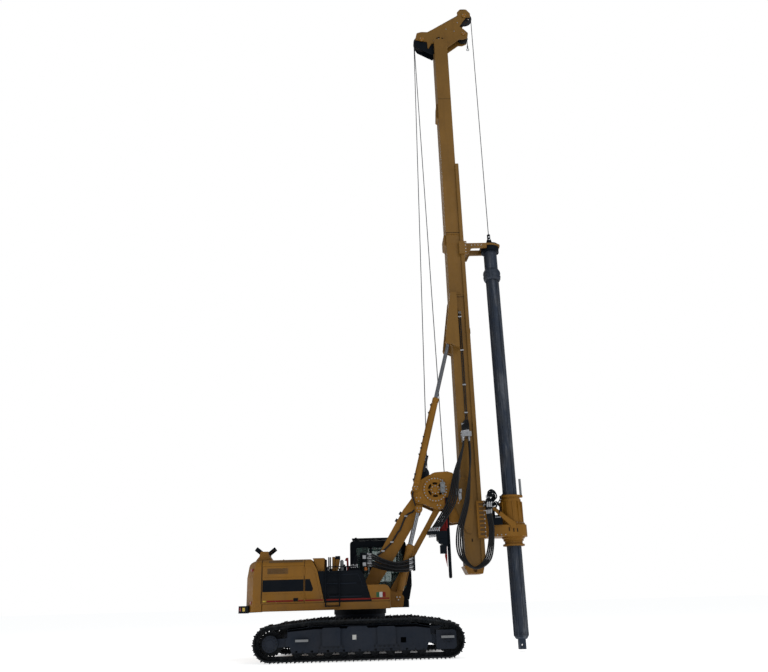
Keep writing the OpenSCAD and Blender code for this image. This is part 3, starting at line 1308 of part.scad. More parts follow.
rig() carbody();
rig() track_frame(-1);  // track_frame_right
rig() track_frame(1);  // track_frame_left
rig() track(-track_y);  // track_right
rig() track(track_y);  // track_left
rig() track_wheels();
rig() upper_deck();
rig() boom_foot();
rig() counterweight();
rig() rear_bumper();
rig() engine_house();
rig() mirror([0, 1, 0]) engine_door();  // engine_door_right
rig() engine_door();  // engine_door_left
rig() hood_lid();
rig() engine();
rig() side_tank();
rig() front_box();
rig() left_box();
rig() valve_stack();
rig() exhaust();
rig() lamps();
rig() handrails();
rig() cab();
rig() cab_door();
rig() cab_glass();
rig() cab_guard();
rig() seat();
rig() hose_post();
rig() deck_hoses();
rig() boom();
rig() struts();
rig() lift_barrels();
rig() lift_rods();
rig() mast_carrier();
rig() winch_frame();
rig() main_winch();
rig() aux_winch();
rig() hose_rack();
rig() mast();
rig() mast_foot_block();
rig() mast_head();
rig() ram_barrels();
rig() ram_rods();
rig() main_rope();
rig() aux_rope();
rig() rear_sheaves();
rig() front_sheave();
rig() aux_front_sheave();
rig() hose_clamp();
rig() mast_hoses();
rig() sledge();
rig() rotary_drive();
rig() drive_motors();
rig() drive_hoses();
rig() drive_sleeve();
rig() kelly_guide();
rig() kelly_rope();
rig() kelly_bar();
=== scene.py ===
"""Looks of the rotary piling rig: camera, light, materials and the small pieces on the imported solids."""
import json
from functools import partial
from math import acos, atan2, cos, degrees, hypot, pi, radians, sin, sqrt

import bmesh
import bpy
from mathutils import Matrix, Vector


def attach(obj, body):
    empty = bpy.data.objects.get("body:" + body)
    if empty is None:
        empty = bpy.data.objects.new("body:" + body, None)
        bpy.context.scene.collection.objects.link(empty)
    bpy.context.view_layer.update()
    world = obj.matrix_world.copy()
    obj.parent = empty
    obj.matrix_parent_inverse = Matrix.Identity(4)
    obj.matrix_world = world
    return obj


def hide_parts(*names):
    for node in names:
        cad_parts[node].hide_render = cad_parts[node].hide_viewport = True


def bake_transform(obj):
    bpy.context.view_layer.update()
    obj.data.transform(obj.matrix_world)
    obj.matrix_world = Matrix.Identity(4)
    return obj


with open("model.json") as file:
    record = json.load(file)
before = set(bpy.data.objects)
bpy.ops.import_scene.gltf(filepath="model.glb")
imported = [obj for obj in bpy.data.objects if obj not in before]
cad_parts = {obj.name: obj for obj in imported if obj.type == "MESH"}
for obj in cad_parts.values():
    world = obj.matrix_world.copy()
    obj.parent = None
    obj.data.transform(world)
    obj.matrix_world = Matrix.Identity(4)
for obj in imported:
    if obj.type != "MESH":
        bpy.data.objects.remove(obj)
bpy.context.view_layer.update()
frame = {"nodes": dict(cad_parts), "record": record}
nodes = frame["nodes"]

# Places are written from the slew axis, as in the part's source; the part's origin lies FRAME_X ahead of it.
FRAME_X = 0.86
UP = Vector((0, 0, 1))
SIDES = (-1, 1)

# Points of the linkage in the side view, as (x, z)
BOOM_PIN = (0.25, 1.78)
HEAD_PIN = (1.80, 4.2994)
STRUT_PIN = (0.85, 1.55)
STRUT_TOP = (2.40, 4.0694)
LIFT_FOOT = (1.10, 1.52)
LIFT_EYE = (1.78, 3.9794)
WINCH = (2.31, 4.5594)
AUX_WINCH = (1.95, 5.0694)
RAM_FOOT = (1.72, 4.5994)
RAM_EYE = (2.97, 9.23)
TILT_PIN = (2.98, 4.20)
REAR_SHEAVE = (2.65, 21.48)
FRONT_SHEAVE = (4.33, 22.58)
AUX_SHEAVE = (4.25, 21.72)
KELLY_X = 4.61

# Faces that pieces sit on, as distances from the middle plane
HOUSE_Y = 1.5
CARRIER_Y = 0.38
FLANGE_Y = 0.406
MAST_Y = 0.38
CHEEK_Y = 0.425
BOOM_Y = 0.29
RAM_Y = 0.5
TRACK_Y = 1.75
FRAME_Y = 2.02


def at(x, y, z):
    """A point given from the slew axis, in the part's frame."""
    return Vector((x - FRAME_X, y, z))


def linked(name, data):
    """A new object in the scene."""
    obj = bpy.data.objects.new(name, data)
    bpy.context.scene.collection.objects.link(obj)
    return obj


# Camera

CAM_POS = (-0.37, -22.89, 1.43)
CAM_PITCH = 19.71
CAM_YAW = 1.05
CAM_ROLL = -1.60
FOCAL_PX = 741.7
PHOTO_W = 768
SENSOR = 36


def add_camera():
    data = bpy.data.cameras.new("camera")
    data.sensor_width = SENSOR
    data.lens = FOCAL_PX / PHOTO_W * SENSOR
    data.clip_end = 500
    cam = linked("camera", data)
    yaw = Matrix.Rotation(-radians(CAM_YAW), 4, "Z")
    pitch = Matrix.Rotation(radians(90 + CAM_PITCH), 4, "X")
    roll = Matrix.Rotation(radians(CAM_ROLL), 4, "Z")
    cam.matrix_world = Matrix.Translation(CAM_POS) @ yaw @ pitch @ roll
    bpy.context.scene.camera = cam


# Materials


class Nodes:
    """Short calls for building one material's node tree."""

    def __init__(self, name):
        self.mat = bpy.data.materials.new(name)
        self.mat.use_nodes = True
        self.tree = self.mat.node_tree
        self.shader = self.tree.nodes["Principled BSDF"]

    def add(self, kind, inputs=None, **values):
        """A node with constant values on some of its sockets, and with some of its settings changed."""
        node = self.tree.nodes.new(kind)
        for key, value in values.items():
            setattr(node, key, value)
        for key, value in (inputs or {}).items():
            node.inputs[key].default_value = value
        return node

    def link(self, out, into):
        self.tree.links.new(out, into)

    def set(self, **values):
        """Constant values on the shader's own sockets, with _ for a space in their names."""
        for key, value in values.items():
            self.shader.inputs[key.replace("_", " ")].default_value = value

    def coords(self, scale=(1, 1, 1)):
        place = self.add("ShaderNodeTexCoord")
        mapping = self.add("ShaderNodeMapping", {"Scale": scale})
        self.link(place.outputs["Object"], mapping.inputs["Vector"])
        return mapping.outputs["Vector"]

    def noise(self, scale, detail=4.0, stretch=(1, 1, 1), rough=0.55):
        node = self.add("ShaderNodeTexNoise", {"Scale": scale, "Detail": detail, "Roughness": rough})
        self.link(self.coords(stretch), node.inputs["Vector"])
        return node.outputs["Fac"]

    def ramp(self, value, low, high, out_low=0.0, out_high=1.0):
        limits = {"From Min": low, "From Max": high, "To Min": out_low, "To Max": out_high}
        node = self.add("ShaderNodeMapRange", limits)
        self.link(value, node.inputs["Value"])
        return node.outputs["Result"]

    def times(self, a, b):
        node = self.add("ShaderNodeMath", operation="MULTIPLY")
        self.link(a, node.inputs[0])
        if isinstance(b, float):
            node.inputs[1].default_value = b
        else:
            self.link(b, node.inputs[1])
        return node.outputs[0]

    def mix(self, factor, a, b):
        node = self.add("ShaderNodeMix", data_type="RGBA")
        self.link(factor, node.inputs["Factor"])
        for value, socket in ((a, node.inputs[6]), (b, node.inputs[7])):
            if isinstance(value, tuple):
                socket.default_value = (*value, 1)
            else:
                self.link(value, socket)
        return node.outputs[2]

    def height(self, low, high):
        """1 at the height low, 0 at the height high."""
        place = self.add("ShaderNodeTexCoord")
        split = self.add("ShaderNodeSeparateXYZ")
        self.link(place.outputs["Object"], split.inputs[0])
        return self.ramp(split.outputs["Z"], low, high, 1.0, 0.0)

    def color(self, out):
        self.link(out, self.shader.inputs["Base Color"])

    def rough(self, scale, detail, low, high, stretch=(1, 1, 1)):
        """Roughness that drifts from low to high in patches."""
        patches = self.ramp(self.noise(scale, detail, stretch), 0.3, 0.7, low, high)
        self.link(patches, self.shader.inputs["Roughness"])

    def bump(self, value, strength, distance):
        node = self.add("ShaderNodeBump", {"Strength": strength, "Distance": distance})
        self.link(value, node.inputs["Height"])
        self.link(node.outputs["Normal"], self.shader.inputs["Normal"])


DUST = (0.12, 0.095, 0.07)


def scaled(color, k):
    return tuple(k * c for c in color)


def paint(name, color, dust_top, gloss=0.42, dust=0.4, shine=0.4):
    """Enamel with slow colour drift, streaks that run down, dust near the ground and a fine skin."""
    n = Nodes(name)
    shade = scaled(color, 0.8)
    base = n.mix(n.ramp(n.noise(0.9, 3.0), 0.32, 0.68), color, shade)
    streaks = n.times(n.ramp(n.noise(5.0, 5.0, (1, 1, 0.06)), 0.52, 0.8), 0.35)
    base = n.mix(streaks, base, scaled(shade, 0.55))
    speck = n.ramp(n.noise(14.0, 6.0, (1, 1, 1), 0.7), 0.6, 0.78)
    base = n.mix(n.times(speck, 0.22), base, scaled(shade, 0.4))
    film = n.times(n.height(0.0, dust_top), n.ramp(n.noise(2.2, 6.0), 0.3, 0.75))
    base = n.mix(n.times(film, dust), base, DUST)
    n.color(base)
    n.rough(9.0, 5.0, gloss - 0.08, gloss + 0.2)
    n.set(Specular_IOR_Level=shine)
    n.bump(n.noise(55.0, 3.0), 0.12, 0.001)
    return n.mat


def worn_steel(name, color, bare, soil, rough=0.5, metal=0.6, stretch=(1, 1, 0.5)):
    n = Nodes(name)
    rub = n.ramp(n.noise(7.0, 6.0, stretch, 0.7), 0.5, 0.68)
    base = n.mix(rub, color, bare)
    base = n.mix(n.times(n.ramp(n.noise(2.5, 6.0), 0.42, 0.7), 0.6), base, soil)
    n.color(base)
    n.rough(16.0, 4.0, rough - 0.12, rough + 0.25)
    n.set(Metallic=metal, Specular_IOR_Level=0.25)
    n.bump(n.noise(34.0, 6.0), 0.35, 0.004)
    return n.mat


def plain_metal(name, color, rough, grain=(1, 1, 1), metal=1.0, depth=0.06):
    n = Nodes(name)
    n.color(n.mix(n.ramp(n.noise(20.0, 4.0, grain), 0.35, 0.65), color, scaled(color, 0.72)))
    n.rough(40.0, 3.0, rough - 0.04, rough + 0.1, grain)
    n.set(Metallic=metal)
    n.bump(n.noise(70.0, 3.0, grain), depth, 0.001)
    return n.mat


def rubber(name, color=(0.0055, 0.0065, 0.0085)):
    n = Nodes(name)
    dusty = n.times(n.ramp(n.noise(6.0, 5.0), 0.45, 0.8), 0.18)
    n.color(n.mix(dusty, color, (0.03, 0.03, 0.03)))
    n.rough(25.0, 3.0, 0.42, 0.68)
    n.set(Specular_IOR_Level=0.3)
    n.bump(n.noise(160.0, 2.0), 0.2, 0.001)
    return n.mat


def rope_steel(name):
    """Greased wire rope, with its strands as slanting bands."""
    n = Nodes(name)
    wave = n.add("ShaderNodeTexWave", {"Scale": 14.0, "Distortion": 0.4}, wave_type="BANDS",
                 bands_direction="DIAGONAL")
    n.link(n.coords(), wave.inputs["Vector"])
    n.color(n.mix(wave.outputs["Fac"], (0.03, 0.033, 0.04), (0.10, 0.105, 0.12)))
    n.set(Metallic=0.6)
    n.rough(30.0, 4.0, 0.35, 0.6)
    n.bump(wave.outputs["Fac"], 0.6, 0.004)
    return n.mat


def tinted_glass(name, color=(0.22, 0.38, 0.34)):
    n = Nodes(name)
    smear = n.ramp(n.noise(3.0, 5.0, (1, 1, 0.5)), 0.4, 0.75)
    n.color(n.mix(n.times(smear, 0.3), color, (0.25, 0.34, 0.30)))
    n.rough(12.0, 4.0, 0.03, 0.1)
    n.set(Transmission_Weight=0.72, IOR=1.45, Alpha=0.48)
    return n.mat


def cloth(name, color):
    n = Nodes(name)
    n.color(n.mix(n.ramp(n.noise(220.0, 2.0), 0.35, 0.65), color, scaled(color, 1.8)))
    n.rough(60.0, 4.0, 0.75, 0.95)
    n.set(Sheen_Weight=0.3)
    n.bump(n.noise(300.0, 2.0), 0.4, 0.001)
    return n.mat


def lens(name, color):
    n = Nodes(name)
    n.color(n.mix(n.ramp(n.noise(30.0), 0.3, 0.7), color, scaled(color, 0.6)))
    n.rough(20.0, 4.0, 0.1, 0.22)
    n.set(Coat_Weight=0.8)
    n.bump(n.noise(90.0, 2.0), 0.2, 0.001)
    return n.mat


YELLOW = paint("yellow_enamel", (0.25, 0.11, 0.009), 4.5, 0.45, 0.3, 0.22)
# A darker, duller copy of the yellow enamel: painted shade for the mast, its head and the kelly guide, which
# carry the same paint as the rest.
SHADED_MAST_YELLOW = paint("yellow_enamel_mast_painted_shade", (0.185, 0.093, 0.017), 4.5, 0.45, 0.3, 0.22)
BLACK = paint("black_enamel", (0.0042, 0.0066, 0.0105), 3.0, 0.5, 0.05, 0.07)
FRAME_GREY = paint("frame_enamel", (0.012, 0.018, 0.030), 1.6, 0.55, 0.12, 0.15)
TRACK = worn_steel("track_steel", (0.005, 0.0075, 0.011), (0.028, 0.031, 0.035), (0.014, 0.013, 0.012),
                   0.62, 0.2)
KELLY = worn_steel("kelly_steel", (0.026, 0.036, 0.056), (0.12, 0.13, 0.15), (0.045, 0.048, 0.053), 0.48, 0.4,
                   (1, 1, 0.12))
CHROME = plain_metal("rod_chrome", (0.30, 0.31, 0.33), 0.2, (1, 1, 1), 1.0, 0.015)
ZINC = plain_metal("zinc_plate", (0.50, 0.51, 0.53), 0.32)
RAIL_STEEL = plain_metal("rail_steel", (0.20, 0.16, 0.12), 0.4, (1, 1, 0.05), 0.7)
SHEAVE = rubber("sheave_plastic", (0.010, 0.010, 0.012))
ROPE = rope_steel("wire_rope")
HOSE = rubber("hose_rubber")
GLASS = tinted_glass("window_glass")
SEAT = cloth("seat_cloth", (0.03, 0.03, 0.034))
RED = paint("red_enamel", (0.19, 0.008, 0.006), 3.0, 0.4, 0.06, 0.15)
WHITE = paint("white_plate", (0.52, 0.52, 0.50), 2.0, 0.4, 0.25)
GREEN = paint("green_enamel", (0.010, 0.085, 0.030), 2.0, 0.4, 0.2)
GREY = paint("grey_enamel", (0.20, 0.21, 0.22), 3.0, 0.45, 0.2)
ORANGE = lens("orange_lens", (0.60, 0.16, 0.01))
RED_LENS = lens("red_lens", (0.28, 0.012, 0.010))
CLEAR_LENS = lens("lamp_lens", (0.45, 0.47, 0.46))
AMBER = lens("amber_reflector", (0.60, 0.42, 0.02))
# A darker copy of the yellow enamel, laid in the roof grooves, the louvres and the rail pockets: painted
# shade.
SHADED_YELLOW = paint("yellow_painted_shade", (0.115, 0.058, 0.014), 4.0, 0.6, 0.2)
SHADE = paint("opening_shade", (0.0012, 0.0014, 0.0018), 2.0, 0.8, 0.0, 0.0)
# Dark brown for seams, slots, vents, pits and strips: painted shadow.
SEAM_PAINTED_SHADOW = paint("seam_shadow", (0.030, 0.016, 0.006), 4.0, 0.7, 0.1, 0.15)

SLOT_MATERIALS = {
    "yellow_paint": YELLOW, "black_paint": BLACK, "frame_paint": FRAME_GREY, "track_steel": TRACK,
    "kelly_steel": KELLY, "rod_chrome": CHROME, "sheave_plastic": SHEAVE, "wire_rope": ROPE,
    "hose_rubber": HOSE, "window_glass": GLASS, "bare_steel": ZINC, "seat_fabric": SEAT,
}


def dress_nodes():
    """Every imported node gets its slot's material in place of the plain one."""
    for part in frame["record"]["subparts"]:
        mesh = nodes[part["node"]].data
        mesh.materials.clear()
        mesh.materials.append(SLOT_MATERIALS[part["material_slot"]])


def repaint(node, material, test):
    """Gives the faces of a node whose middle and normal pass the test another material."""
    mesh = nodes[node].data
    mesh.materials.append(material)
    index = len(mesh.materials) - 1
    for face in mesh.polygons:
        c = face.center
        if test(Vector((c.x + FRAME_X, c.y, c.z)), face.normal):
            face.material_index = index


def near(p, centre, r):
    """True where a point lies within r of a side-view centre."""
    return hypot(p.x - centre[0], p.z - centre[1]) < r


def off_kelly(p):
    return hypot(p.x - KELLY_X, p.y)


def repaint_nodes():
    # Painted shade: the mast, its head and the kelly guide take the darker copy of the yellow enamel.
    for node in ("mast", "mast_head", "kelly_guide"):
        repaint(node, SHADED_MAST_YELLOW, lambda p, n: True)
    repaint("cab_door", GLASS, lambda p, n: abs(n.y) > 0.9 and 1.458 < p.y < 1.482 and p.z > 2.0)
    # The deck's faces below 1.259 take black enamel, and so does its corner under the cab (x above 0.87, y
    # above 0.6) as painted shade.
    repaint("upper_deck", BLACK, lambda p, n: p.z < 1.259 or (p.x > 0.87 and p.y > 0.6))
    repaint("valve_stack", YELLOW, lambda p, n: p.y < -0.6)
    repaint("exhaust", YELLOW, lambda p, n: p.z < 2.852 and (abs(n.y) > 0.99 or p.z < 2.77 or n.z > 0.99))
    repaint("lamps", ORANGE, lambda p, n: -1 < p.x < 0.5)
    repaint("lamps", RED_LENS, lambda p, n: p.x < -1)
    repaint("struts", BLACK, lambda p, n: p.y < -0.321)
    repaint("kelly_guide", BLACK, lambda p, n: off_kelly(p) < 0.305 and (p.z < 12.729 or p.z > 12.791))
    repaint("mast_head", BLACK, lambda p, n: abs(p.y) < 0.1615 and p.x < 3.096 and p.z < 21.54)
    repaint("hose_rack", RED, lambda p, n: -0.452 < p.y < -0.408 and p.z > 3.319 and p.x < 2.6)
    repaint("winch_frame", BLACK, lambda p, n: abs(p.y) < 0.27 and p.z > 4.79)
    # Painted shadow: faces beside the winch drum take the seam-shadow brown.
    repaint("winch_frame", SEAM_PAINTED_SHADOW, lambda p, n: 0.3 < abs(p.y) < 0.3255 and near(p, WINCH, 0.225))
    repaint("mast", RAIL_STEEL, lambda p, n: p.x > 3.675 and n.x > 0.9 and abs(p.y) > 0.25)
    repaint("rotary_drive", GREY, lambda p, n: p.z > 4.385 and p.x > KELLY_X + 0.2)
    repaint("boom", ZINC, lambda p, n: near(p, BOOM_PIN, 0.072) and abs(p.y) > 0.36)
    repaint("mast_carrier", FRAME_GREY, lambda p, n: near(p, TILT_PIN, 0.072) and abs(p.y) > 0.381)
    for eye, node in ((LIFT_EYE, "lift_rods"), (RAM_EYE, "ram_rods")):
        repaint(node, YELLOW, lambda p, n, eye=eye: near(p, eye, 0.128))


# Pieces

# Angles in degrees from which an edge is shaded sharp, or bevelled
SHARP = 35
TUBE_SHARP = 60
PAD_SHARP = 180
BEVELLED = 40
# A bolt's washer, as shares of the head's height and radius
WASHER_H = 0.22
WASHER_R = 1.35
PIECES = []


def facing(side, y, depth, root=0.001):
    """Y limits of a thin plate that stands depth proud of a side face at y, with its root sunk in it."""
    return sorted((side * (y - root), side * (y + depth)))


def circle(centre, axis, r, count, start=0.0, lift=0.0):
    """Points evenly round an axis through centre, lifted along it."""
    turn = UP.rotation_difference(Vector(axis).normalized()).to_matrix()
    angles = [start + 2 * pi * k / count for k in range(count)]
    return [Vector(centre) + turn @ Vector((r * cos(t), r * sin(t), lift)) for t in angles]


def bridge(bm, one, two):
    """Faces between two rings with as many points."""
    for corners in zip(one, one[1:] + one[:1], two[1:] + two[:1], two):
        bm.faces.new(corners)


class Piece:
    """Collects simple solids in one mesh. At the end done makes one object of them that rides on a body."""

    def __init__(self, name, body, material, bevel=0.004):
        self.name = name
        self.body = body
        self.material = material
        self.bevel = bevel
        self.bm = bmesh.new()
        PIECES.append(self)

    def box(self, lo, hi, turn=None):
        lo = at(*lo)
        hi = at(*hi)
        made = bmesh.ops.create_cube(self.bm, size=1.0)["verts"]
        middle = (lo + hi) / 2
        for v in made:
            v.co = v.co * (hi - lo) + middle
        if turn is not None:
            bmesh.ops.rotate(self.bm, verts=made, cent=middle, matrix=turn)

    def plate(self, side, y, depth, x, z, root=0.001):
        """A thin box on a side face at y, between two values of x and of z."""
        y0, y1 = facing(side, y, depth, root)
        self.box((x[0], y0, z[0]), (x[1], y1, z[1]))

    def rod(self, a, b, r, sides=20, r2=None):
        a = at(*a)
        b = at(*b)
        turn = UP.rotation_difference(b - a).to_matrix().to_4x4()
        bmesh.ops.create_cone(self.bm, cap_ends=True, segments=sides, radius1=r,
                              radius2=r if r2 is None else r2, depth=(b - a).length,
                              matrix=Matrix.Translation((a + b) / 2) @ turn)

    def post(self, x, y, z0, z1, r, sides=20):
        """An upright rod."""
        self.rod((x, y, z0), (x, y, z1), r, sides)

    def stud(self, centre, y0, y1, r, sides=20):
        """A rod that runs across the part through a side-view centre."""
        self.rod((centre[0], y0, centre[1]), (centre[0], y1, centre[1]), r, sides)

    def ring(self, centre, axis, r_out, r_in, h, sides=40):
        """A flat ring that starts at centre and stands h along axis."""
        rows = []
        for r, lift in ((r_in, 0), (r_out, 0), (r_out, h), (r_in, h)):
            rows.append([self.bm.verts.new(p) for p in circle(at(*centre), axis, r, sides, 0.0, lift)])
        for one, two in zip(rows, rows[1:] + rows[:1]):
            bridge(self.bm, one, two)

    def bolt(self, where, axis, r=0.014, h=0.016):
        """A washer and a hexagon head on the surface at where."""
        n = Vector(axis).normalized()
        p = Vector(where)
        top = p + n * h * WASHER_H
        self.rod(p, top, r * WASHER_R, 12)
        self.rod(top, p + n * h, r, 6)

    def side_bolts(self, points, side, y, r=0.014, h=0.016):
        """Bolts at side-view points on a side face at y."""
        for x, z in points:
            self.bolt((x, side * y, z), (0, side, 0), r, h)

    def bolt_circle(self, centre, axis, radius, count, r=0.014, h=0.016, start=0.0):
        for p in circle(centre, axis, radius, count, start):
            self.bolt(p, axis, r, h)

    def prism(self, outline, y0, y1):
        """A side-view outline of (x, z) points, thickened from y0 to y1."""
        self.loft([at(x, y0, z) for x, z in outline], [at(x, y1, z) for x, z in outline])

    def strip(self, x0, x1, section):
        """A cross-section of (y, z) points, drawn out along X."""
        self.loft([at(x0, y, z) for y, z in section], [at(x1, y, z) for y, z in section])

    def loft(self, one, two):
        one = [self.bm.verts.new(p) for p in one]
        two = [self.bm.verts.new(p) for p in two]
        self.bm.faces.new(one)
        self.bm.faces.new(two[::-1])
        bridge(self.bm, one, two)

    def tube(self, points, r, sides=12, steps=6):
        sweep(self.bm, smooth_path(points, steps), r, sides)

    def pipe(self, points, r, sides=10):
        """A tube with sharp bends."""
        sweep(self.bm, [Vector(p) for p in points], r, sides)

    def done(self):
        bmesh.ops.recalc_face_normals(self.bm, faces=self.bm.faces)
        obj = finish_mesh(self.name, self.bm, self.material, SHARP)
        if self.bevel:
            mod = obj.modifiers.new("edges", "BEVEL")
            mod.width = self.bevel
            mod.segments = 2
            mod.limit_method = "ANGLE"
            mod.angle_limit = radians(BEVELLED)
        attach(obj, self.body)


def finish_mesh(name, bm, material, sharp):
    mesh = bpy.data.meshes.new(name)
    bm.to_mesh(mesh)
    bm.free()
    mesh.materials.append(material)
    mesh.shade_smooth()
    mesh.set_sharp_from_angle(angle=radians(sharp))
    obj = linked(name, mesh)
    return obj


def sweep(bm, points, r, sides):
    """A closed tube along points, with its rings turned as little as possible from one to the next."""
    points = [at(*p) for p in points]
    angles = [2 * pi * k / sides for k in range(sides)]
    rows = []
    side = None
    for i, p in enumerate(points):
        t = (points[min(i + 1, len(points) - 1)] - points[max(i - 1, 0)]).normalized()
        if side is None:
            side = t.orthogonal().normalized()
        side = (side - t * side.dot(t)).normalized()
        other = t.cross(side)
        rows.append([bm.verts.new(p + (side * cos(a) + other * sin(a)) * r) for a in angles])
    for one, two in zip(rows, rows[1:]):
        bridge(bm, one, two)
    bm.faces.new(rows[0][::-1])
    bm.faces.new(rows[-1])


def smooth_path(points, n):
    """Points along the smooth curve that the part's source uses for its hoses."""
    p = [Vector(q) for q in points]
    out = []
    for a, b, c, d in zip(p[:1] + p, p, p[1:], p[2:] + p[-1:]):
        for t in (j / n for j in range(n)):
            out.append(0.5 * (2 * b + (c - a) * t + (2 * a - 5 * b + 4 * c - d) * t * t
                              + (3 * b - a - 3 * c + d) * t ** 3))
    return out + [p[-1]]


# Hoses and ropes, which follow the solids' routes and stretch between two bodies

HOSE_R = 0.024
HOSE_STEPS = 14
HOSE_SIDES = 14
DECK_HOSE_R = 0.027
CLAMP_Y = -0.525
CLAMP_Z = 6.0797
HOSE_STEP = 0.054
RACK_X = 2.07
RACK_STEP = 0.058
ROPE_R = 0.014
DRUM_R = 0.3443
AUX_DRUM_R = 0.1743
SHEAVE_R = 0.28
AUX_SHEAVE_R = 0.17
AUX_Y = 0.095


def hose(name, route, r):
    """One hydraulic hose: a tube along a smooth curve between two bodies."""
    line = smooth_path(route, HOSE_STEPS)
    bm = bmesh.new()
    sweep(bm, line, r, HOSE_SIDES)
    obj = finish_mesh(name, bm, HOSE, TUBE_SHARP)
    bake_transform(obj)
    return obj


def ferrules(name, body, direction, points, r):
    """Crimped steel ends where hoses leave their fittings in one direction."""
    piece = Piece(name, body, ZINC, 0.003)
    d = Vector(direction).normalized()
    for p in map(Vector, points):
        piece.rod(p + d * 0.002, p + d * 0.13, r * 1.22, 16)
        piece.rod(p + d * 0.001, p + d * 0.045, r * 1.5, 6)


def hose_row(name, routes, first, last, r=HOSE_R):
    """Hoses side by side. first and last give the ferrules at their ends, as (piece, body, direction)."""
    made = [hose("%s_%d" % (name, k), route, r) for k, route in enumerate(routes)]
    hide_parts(name + "s")
    ferrules(*first, [route[0] for route in routes], r)
    ferrules(*last, [route[-1] for route in routes], r)


def deck_port(k):
    """(y, z) of a port on the hose post."""
    return (-0.55 + 0.062 * (k % 2), 2.74 - 0.06 * k - (0.02 if k > 2 else 0))


def deck_hoses():
    routes = []
    for k in range(6):
        y, z = deck_port(k)
        far_y = y - 0.24
        sag_z = 2.47 - 0.046 * k
        far_z = 2.58 - 0.056 * k
        routes.append([(0.2303, y, z), (0.38, y - 0.02, z - 0.012),
                       (0.70, (y + far_y) / 2, (z + 2 * sag_z) / 3 + 0.01), (1.06, far_y, sag_z),
                       (1.36, far_y, far_z - 0.06), (1.5597, far_y, far_z)])
    hose_row("deck_hose", routes,
             ("deck_hose_ends", "upper", (1, -0.1, -0.08)),
             ("strut_hose_ends", "struts", (-1, 0, -0.25)), DECK_HOSE_R)


def mast_hoses():
    routes = []
    for k in range(5):
        d = RACK_STEP * k
        y = CLAMP_Y - HOSE_STEP * k
        routes.append([(3.22, y, CLAMP_Z), (3.19, y, 5.78), (2.9 + d / 2, y, 5.05), (2.65 + d, y, 4.2),
                       (2.3 + d, y, 3.62), (RACK_X + d, y, 3.3203)])
    hose_row("mast_hose", routes,
             ("mast_hose_ends", "mast", (-0.1, 0, -1)), ("rack_hose_ends", "carrier", (0.5, 0, 1)))


def drive_hoses():
    routes = []
    for k in range(4):
        d = 0.04 * k
        y = CLAMP_Y - 0.034 - HOSE_STEP * k
        x = 3.795 + 0.034 * k
        routes.append([(3.39, y, CLAMP_Z), (3.38, y, 5.3), (3.28 - d, y, 4.2), (3.04 - 1.5 * d, y, 3.3),
                       (3.06 - 1.5 * d, y, 2.62), (3.32, y, 2.3 - d / 3), (3.66 + d, y, 2.56 - d / 2),
                       (x + 0.03, y, 3.25), (x, y, 3.77), (x, y, 3.9197)])
    hose_row("drive_hose", routes,
             ("clamp_hose_ends", "mast", (0, 0, -1)), ("port_hose_ends", "drive", (0, 0, -1)))


def spread(first, last, n):
    """Angles in n even steps between two that are given in degrees."""
    return [radians(first + (last - first) * i / n) for i in range(n + 1)]


def arc(c, r, first, last, y):
    """Points on an arc in the side view, from one angle to another, in degrees."""
    return [(c[0] + r * cos(t), y, c[1] + r * sin(t)) for t in spread(first, last, 12)]


def from_drum(c, r, y, crown):
    """A rope's way from a drum up to the rear sheaves and round them to the angle crown."""
    lean = atan2(c[0] + r - REAR_SHEAVE[0] + SHEAVE_R, REAR_SHEAVE[1] - c[1])
    leave = (c[0] + r * cos(lean), y, c[1] + r * sin(lean))
    return [leave] + arc(REAR_SHEAVE, SHEAVE_R, 180, crown, y)


def rope(name, node, points):
    """A taut rope between two bodies; its straight runs have no points inside, so they stay straight."""
    bm = bmesh.new()
    sweep(bm, points, ROPE_R, 10)
    obj = finish_mesh(name, bm, ROPE, TUBE_SHARP)
    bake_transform(obj)
    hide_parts(node)


def ropes():
    run = FRONT_SHEAVE[0] - REAR_SHEAVE[0]
    crown = 90 + degrees(atan2(FRONT_SHEAVE[1] - REAR_SHEAVE[1], run))
    hoist = from_drum(WINCH, DRUM_R, 0, crown) + arc(FRONT_SHEAVE, SHEAVE_R, crown, 2, 0)
    rope("hoist_rope", "main_rope", hoist)
    run = AUX_SHEAVE[0] - REAR_SHEAVE[0]
    crown = 90 + degrees(atan2(AUX_SHEAVE[1] + AUX_SHEAVE_R - REAR_SHEAVE[1] - SHEAVE_R, run))
    hook = (AUX_SHEAVE[0] + AUX_SHEAVE_R, AUX_Y, AUX_SHEAVE[1] - 0.33)
    aux = from_drum(AUX_WINCH, AUX_DRUM_R, AUX_Y, crown) + arc(AUX_SHEAVE, AUX_SHEAVE_R, crown, 0, AUX_Y)
    rope("auxiliary_rope", "aux_rope", aux + [hook])
    swivel = [(KELLY_X, 0, 13.25), (KELLY_X, 0, 22.55)]
    rope("swivel_rope", "kelly_rope", swivel)


# Tracks and undercarriage

WHEEL_X = 2.31
WHEEL_Z = 0.47
WHEEL_R = 0.416
LOOP = ((WHEEL_X, WHEEL_Z, WHEEL_R), (1.5, 0.596, 0.4), (-1.15, 0.596, 0.4), (-WHEEL_X, WHEEL_Z, WHEEL_R))
SHOE_PITCH = 0.216
GUARD_TOP = 0.864
COVER_Y = 2.075


def belt_rows():
    """The chain line, wheel by wheel, as (wheel, start angle, turn, straight run after it)."""
    angles = []
    runs = []
    for a, b in zip(LOOP, LOOP[1:] + LOOP[:1]):
        dx, dz = b[0] - a[0], b[1] - a[1]
        angles.append(atan2(dz, dx) - acos((a[2] - b[2]) / hypot(dx, dz)))
        runs.append(sqrt(dx ** 2 + dz ** 2 - (a[2] - b[2]) ** 2))
    turns = [(angles[i] - angles[i - 1]) % (2 * pi) for i in range(len(LOOP))]
    return list(zip(LOOP, angles[-1:] + angles, turns, runs))


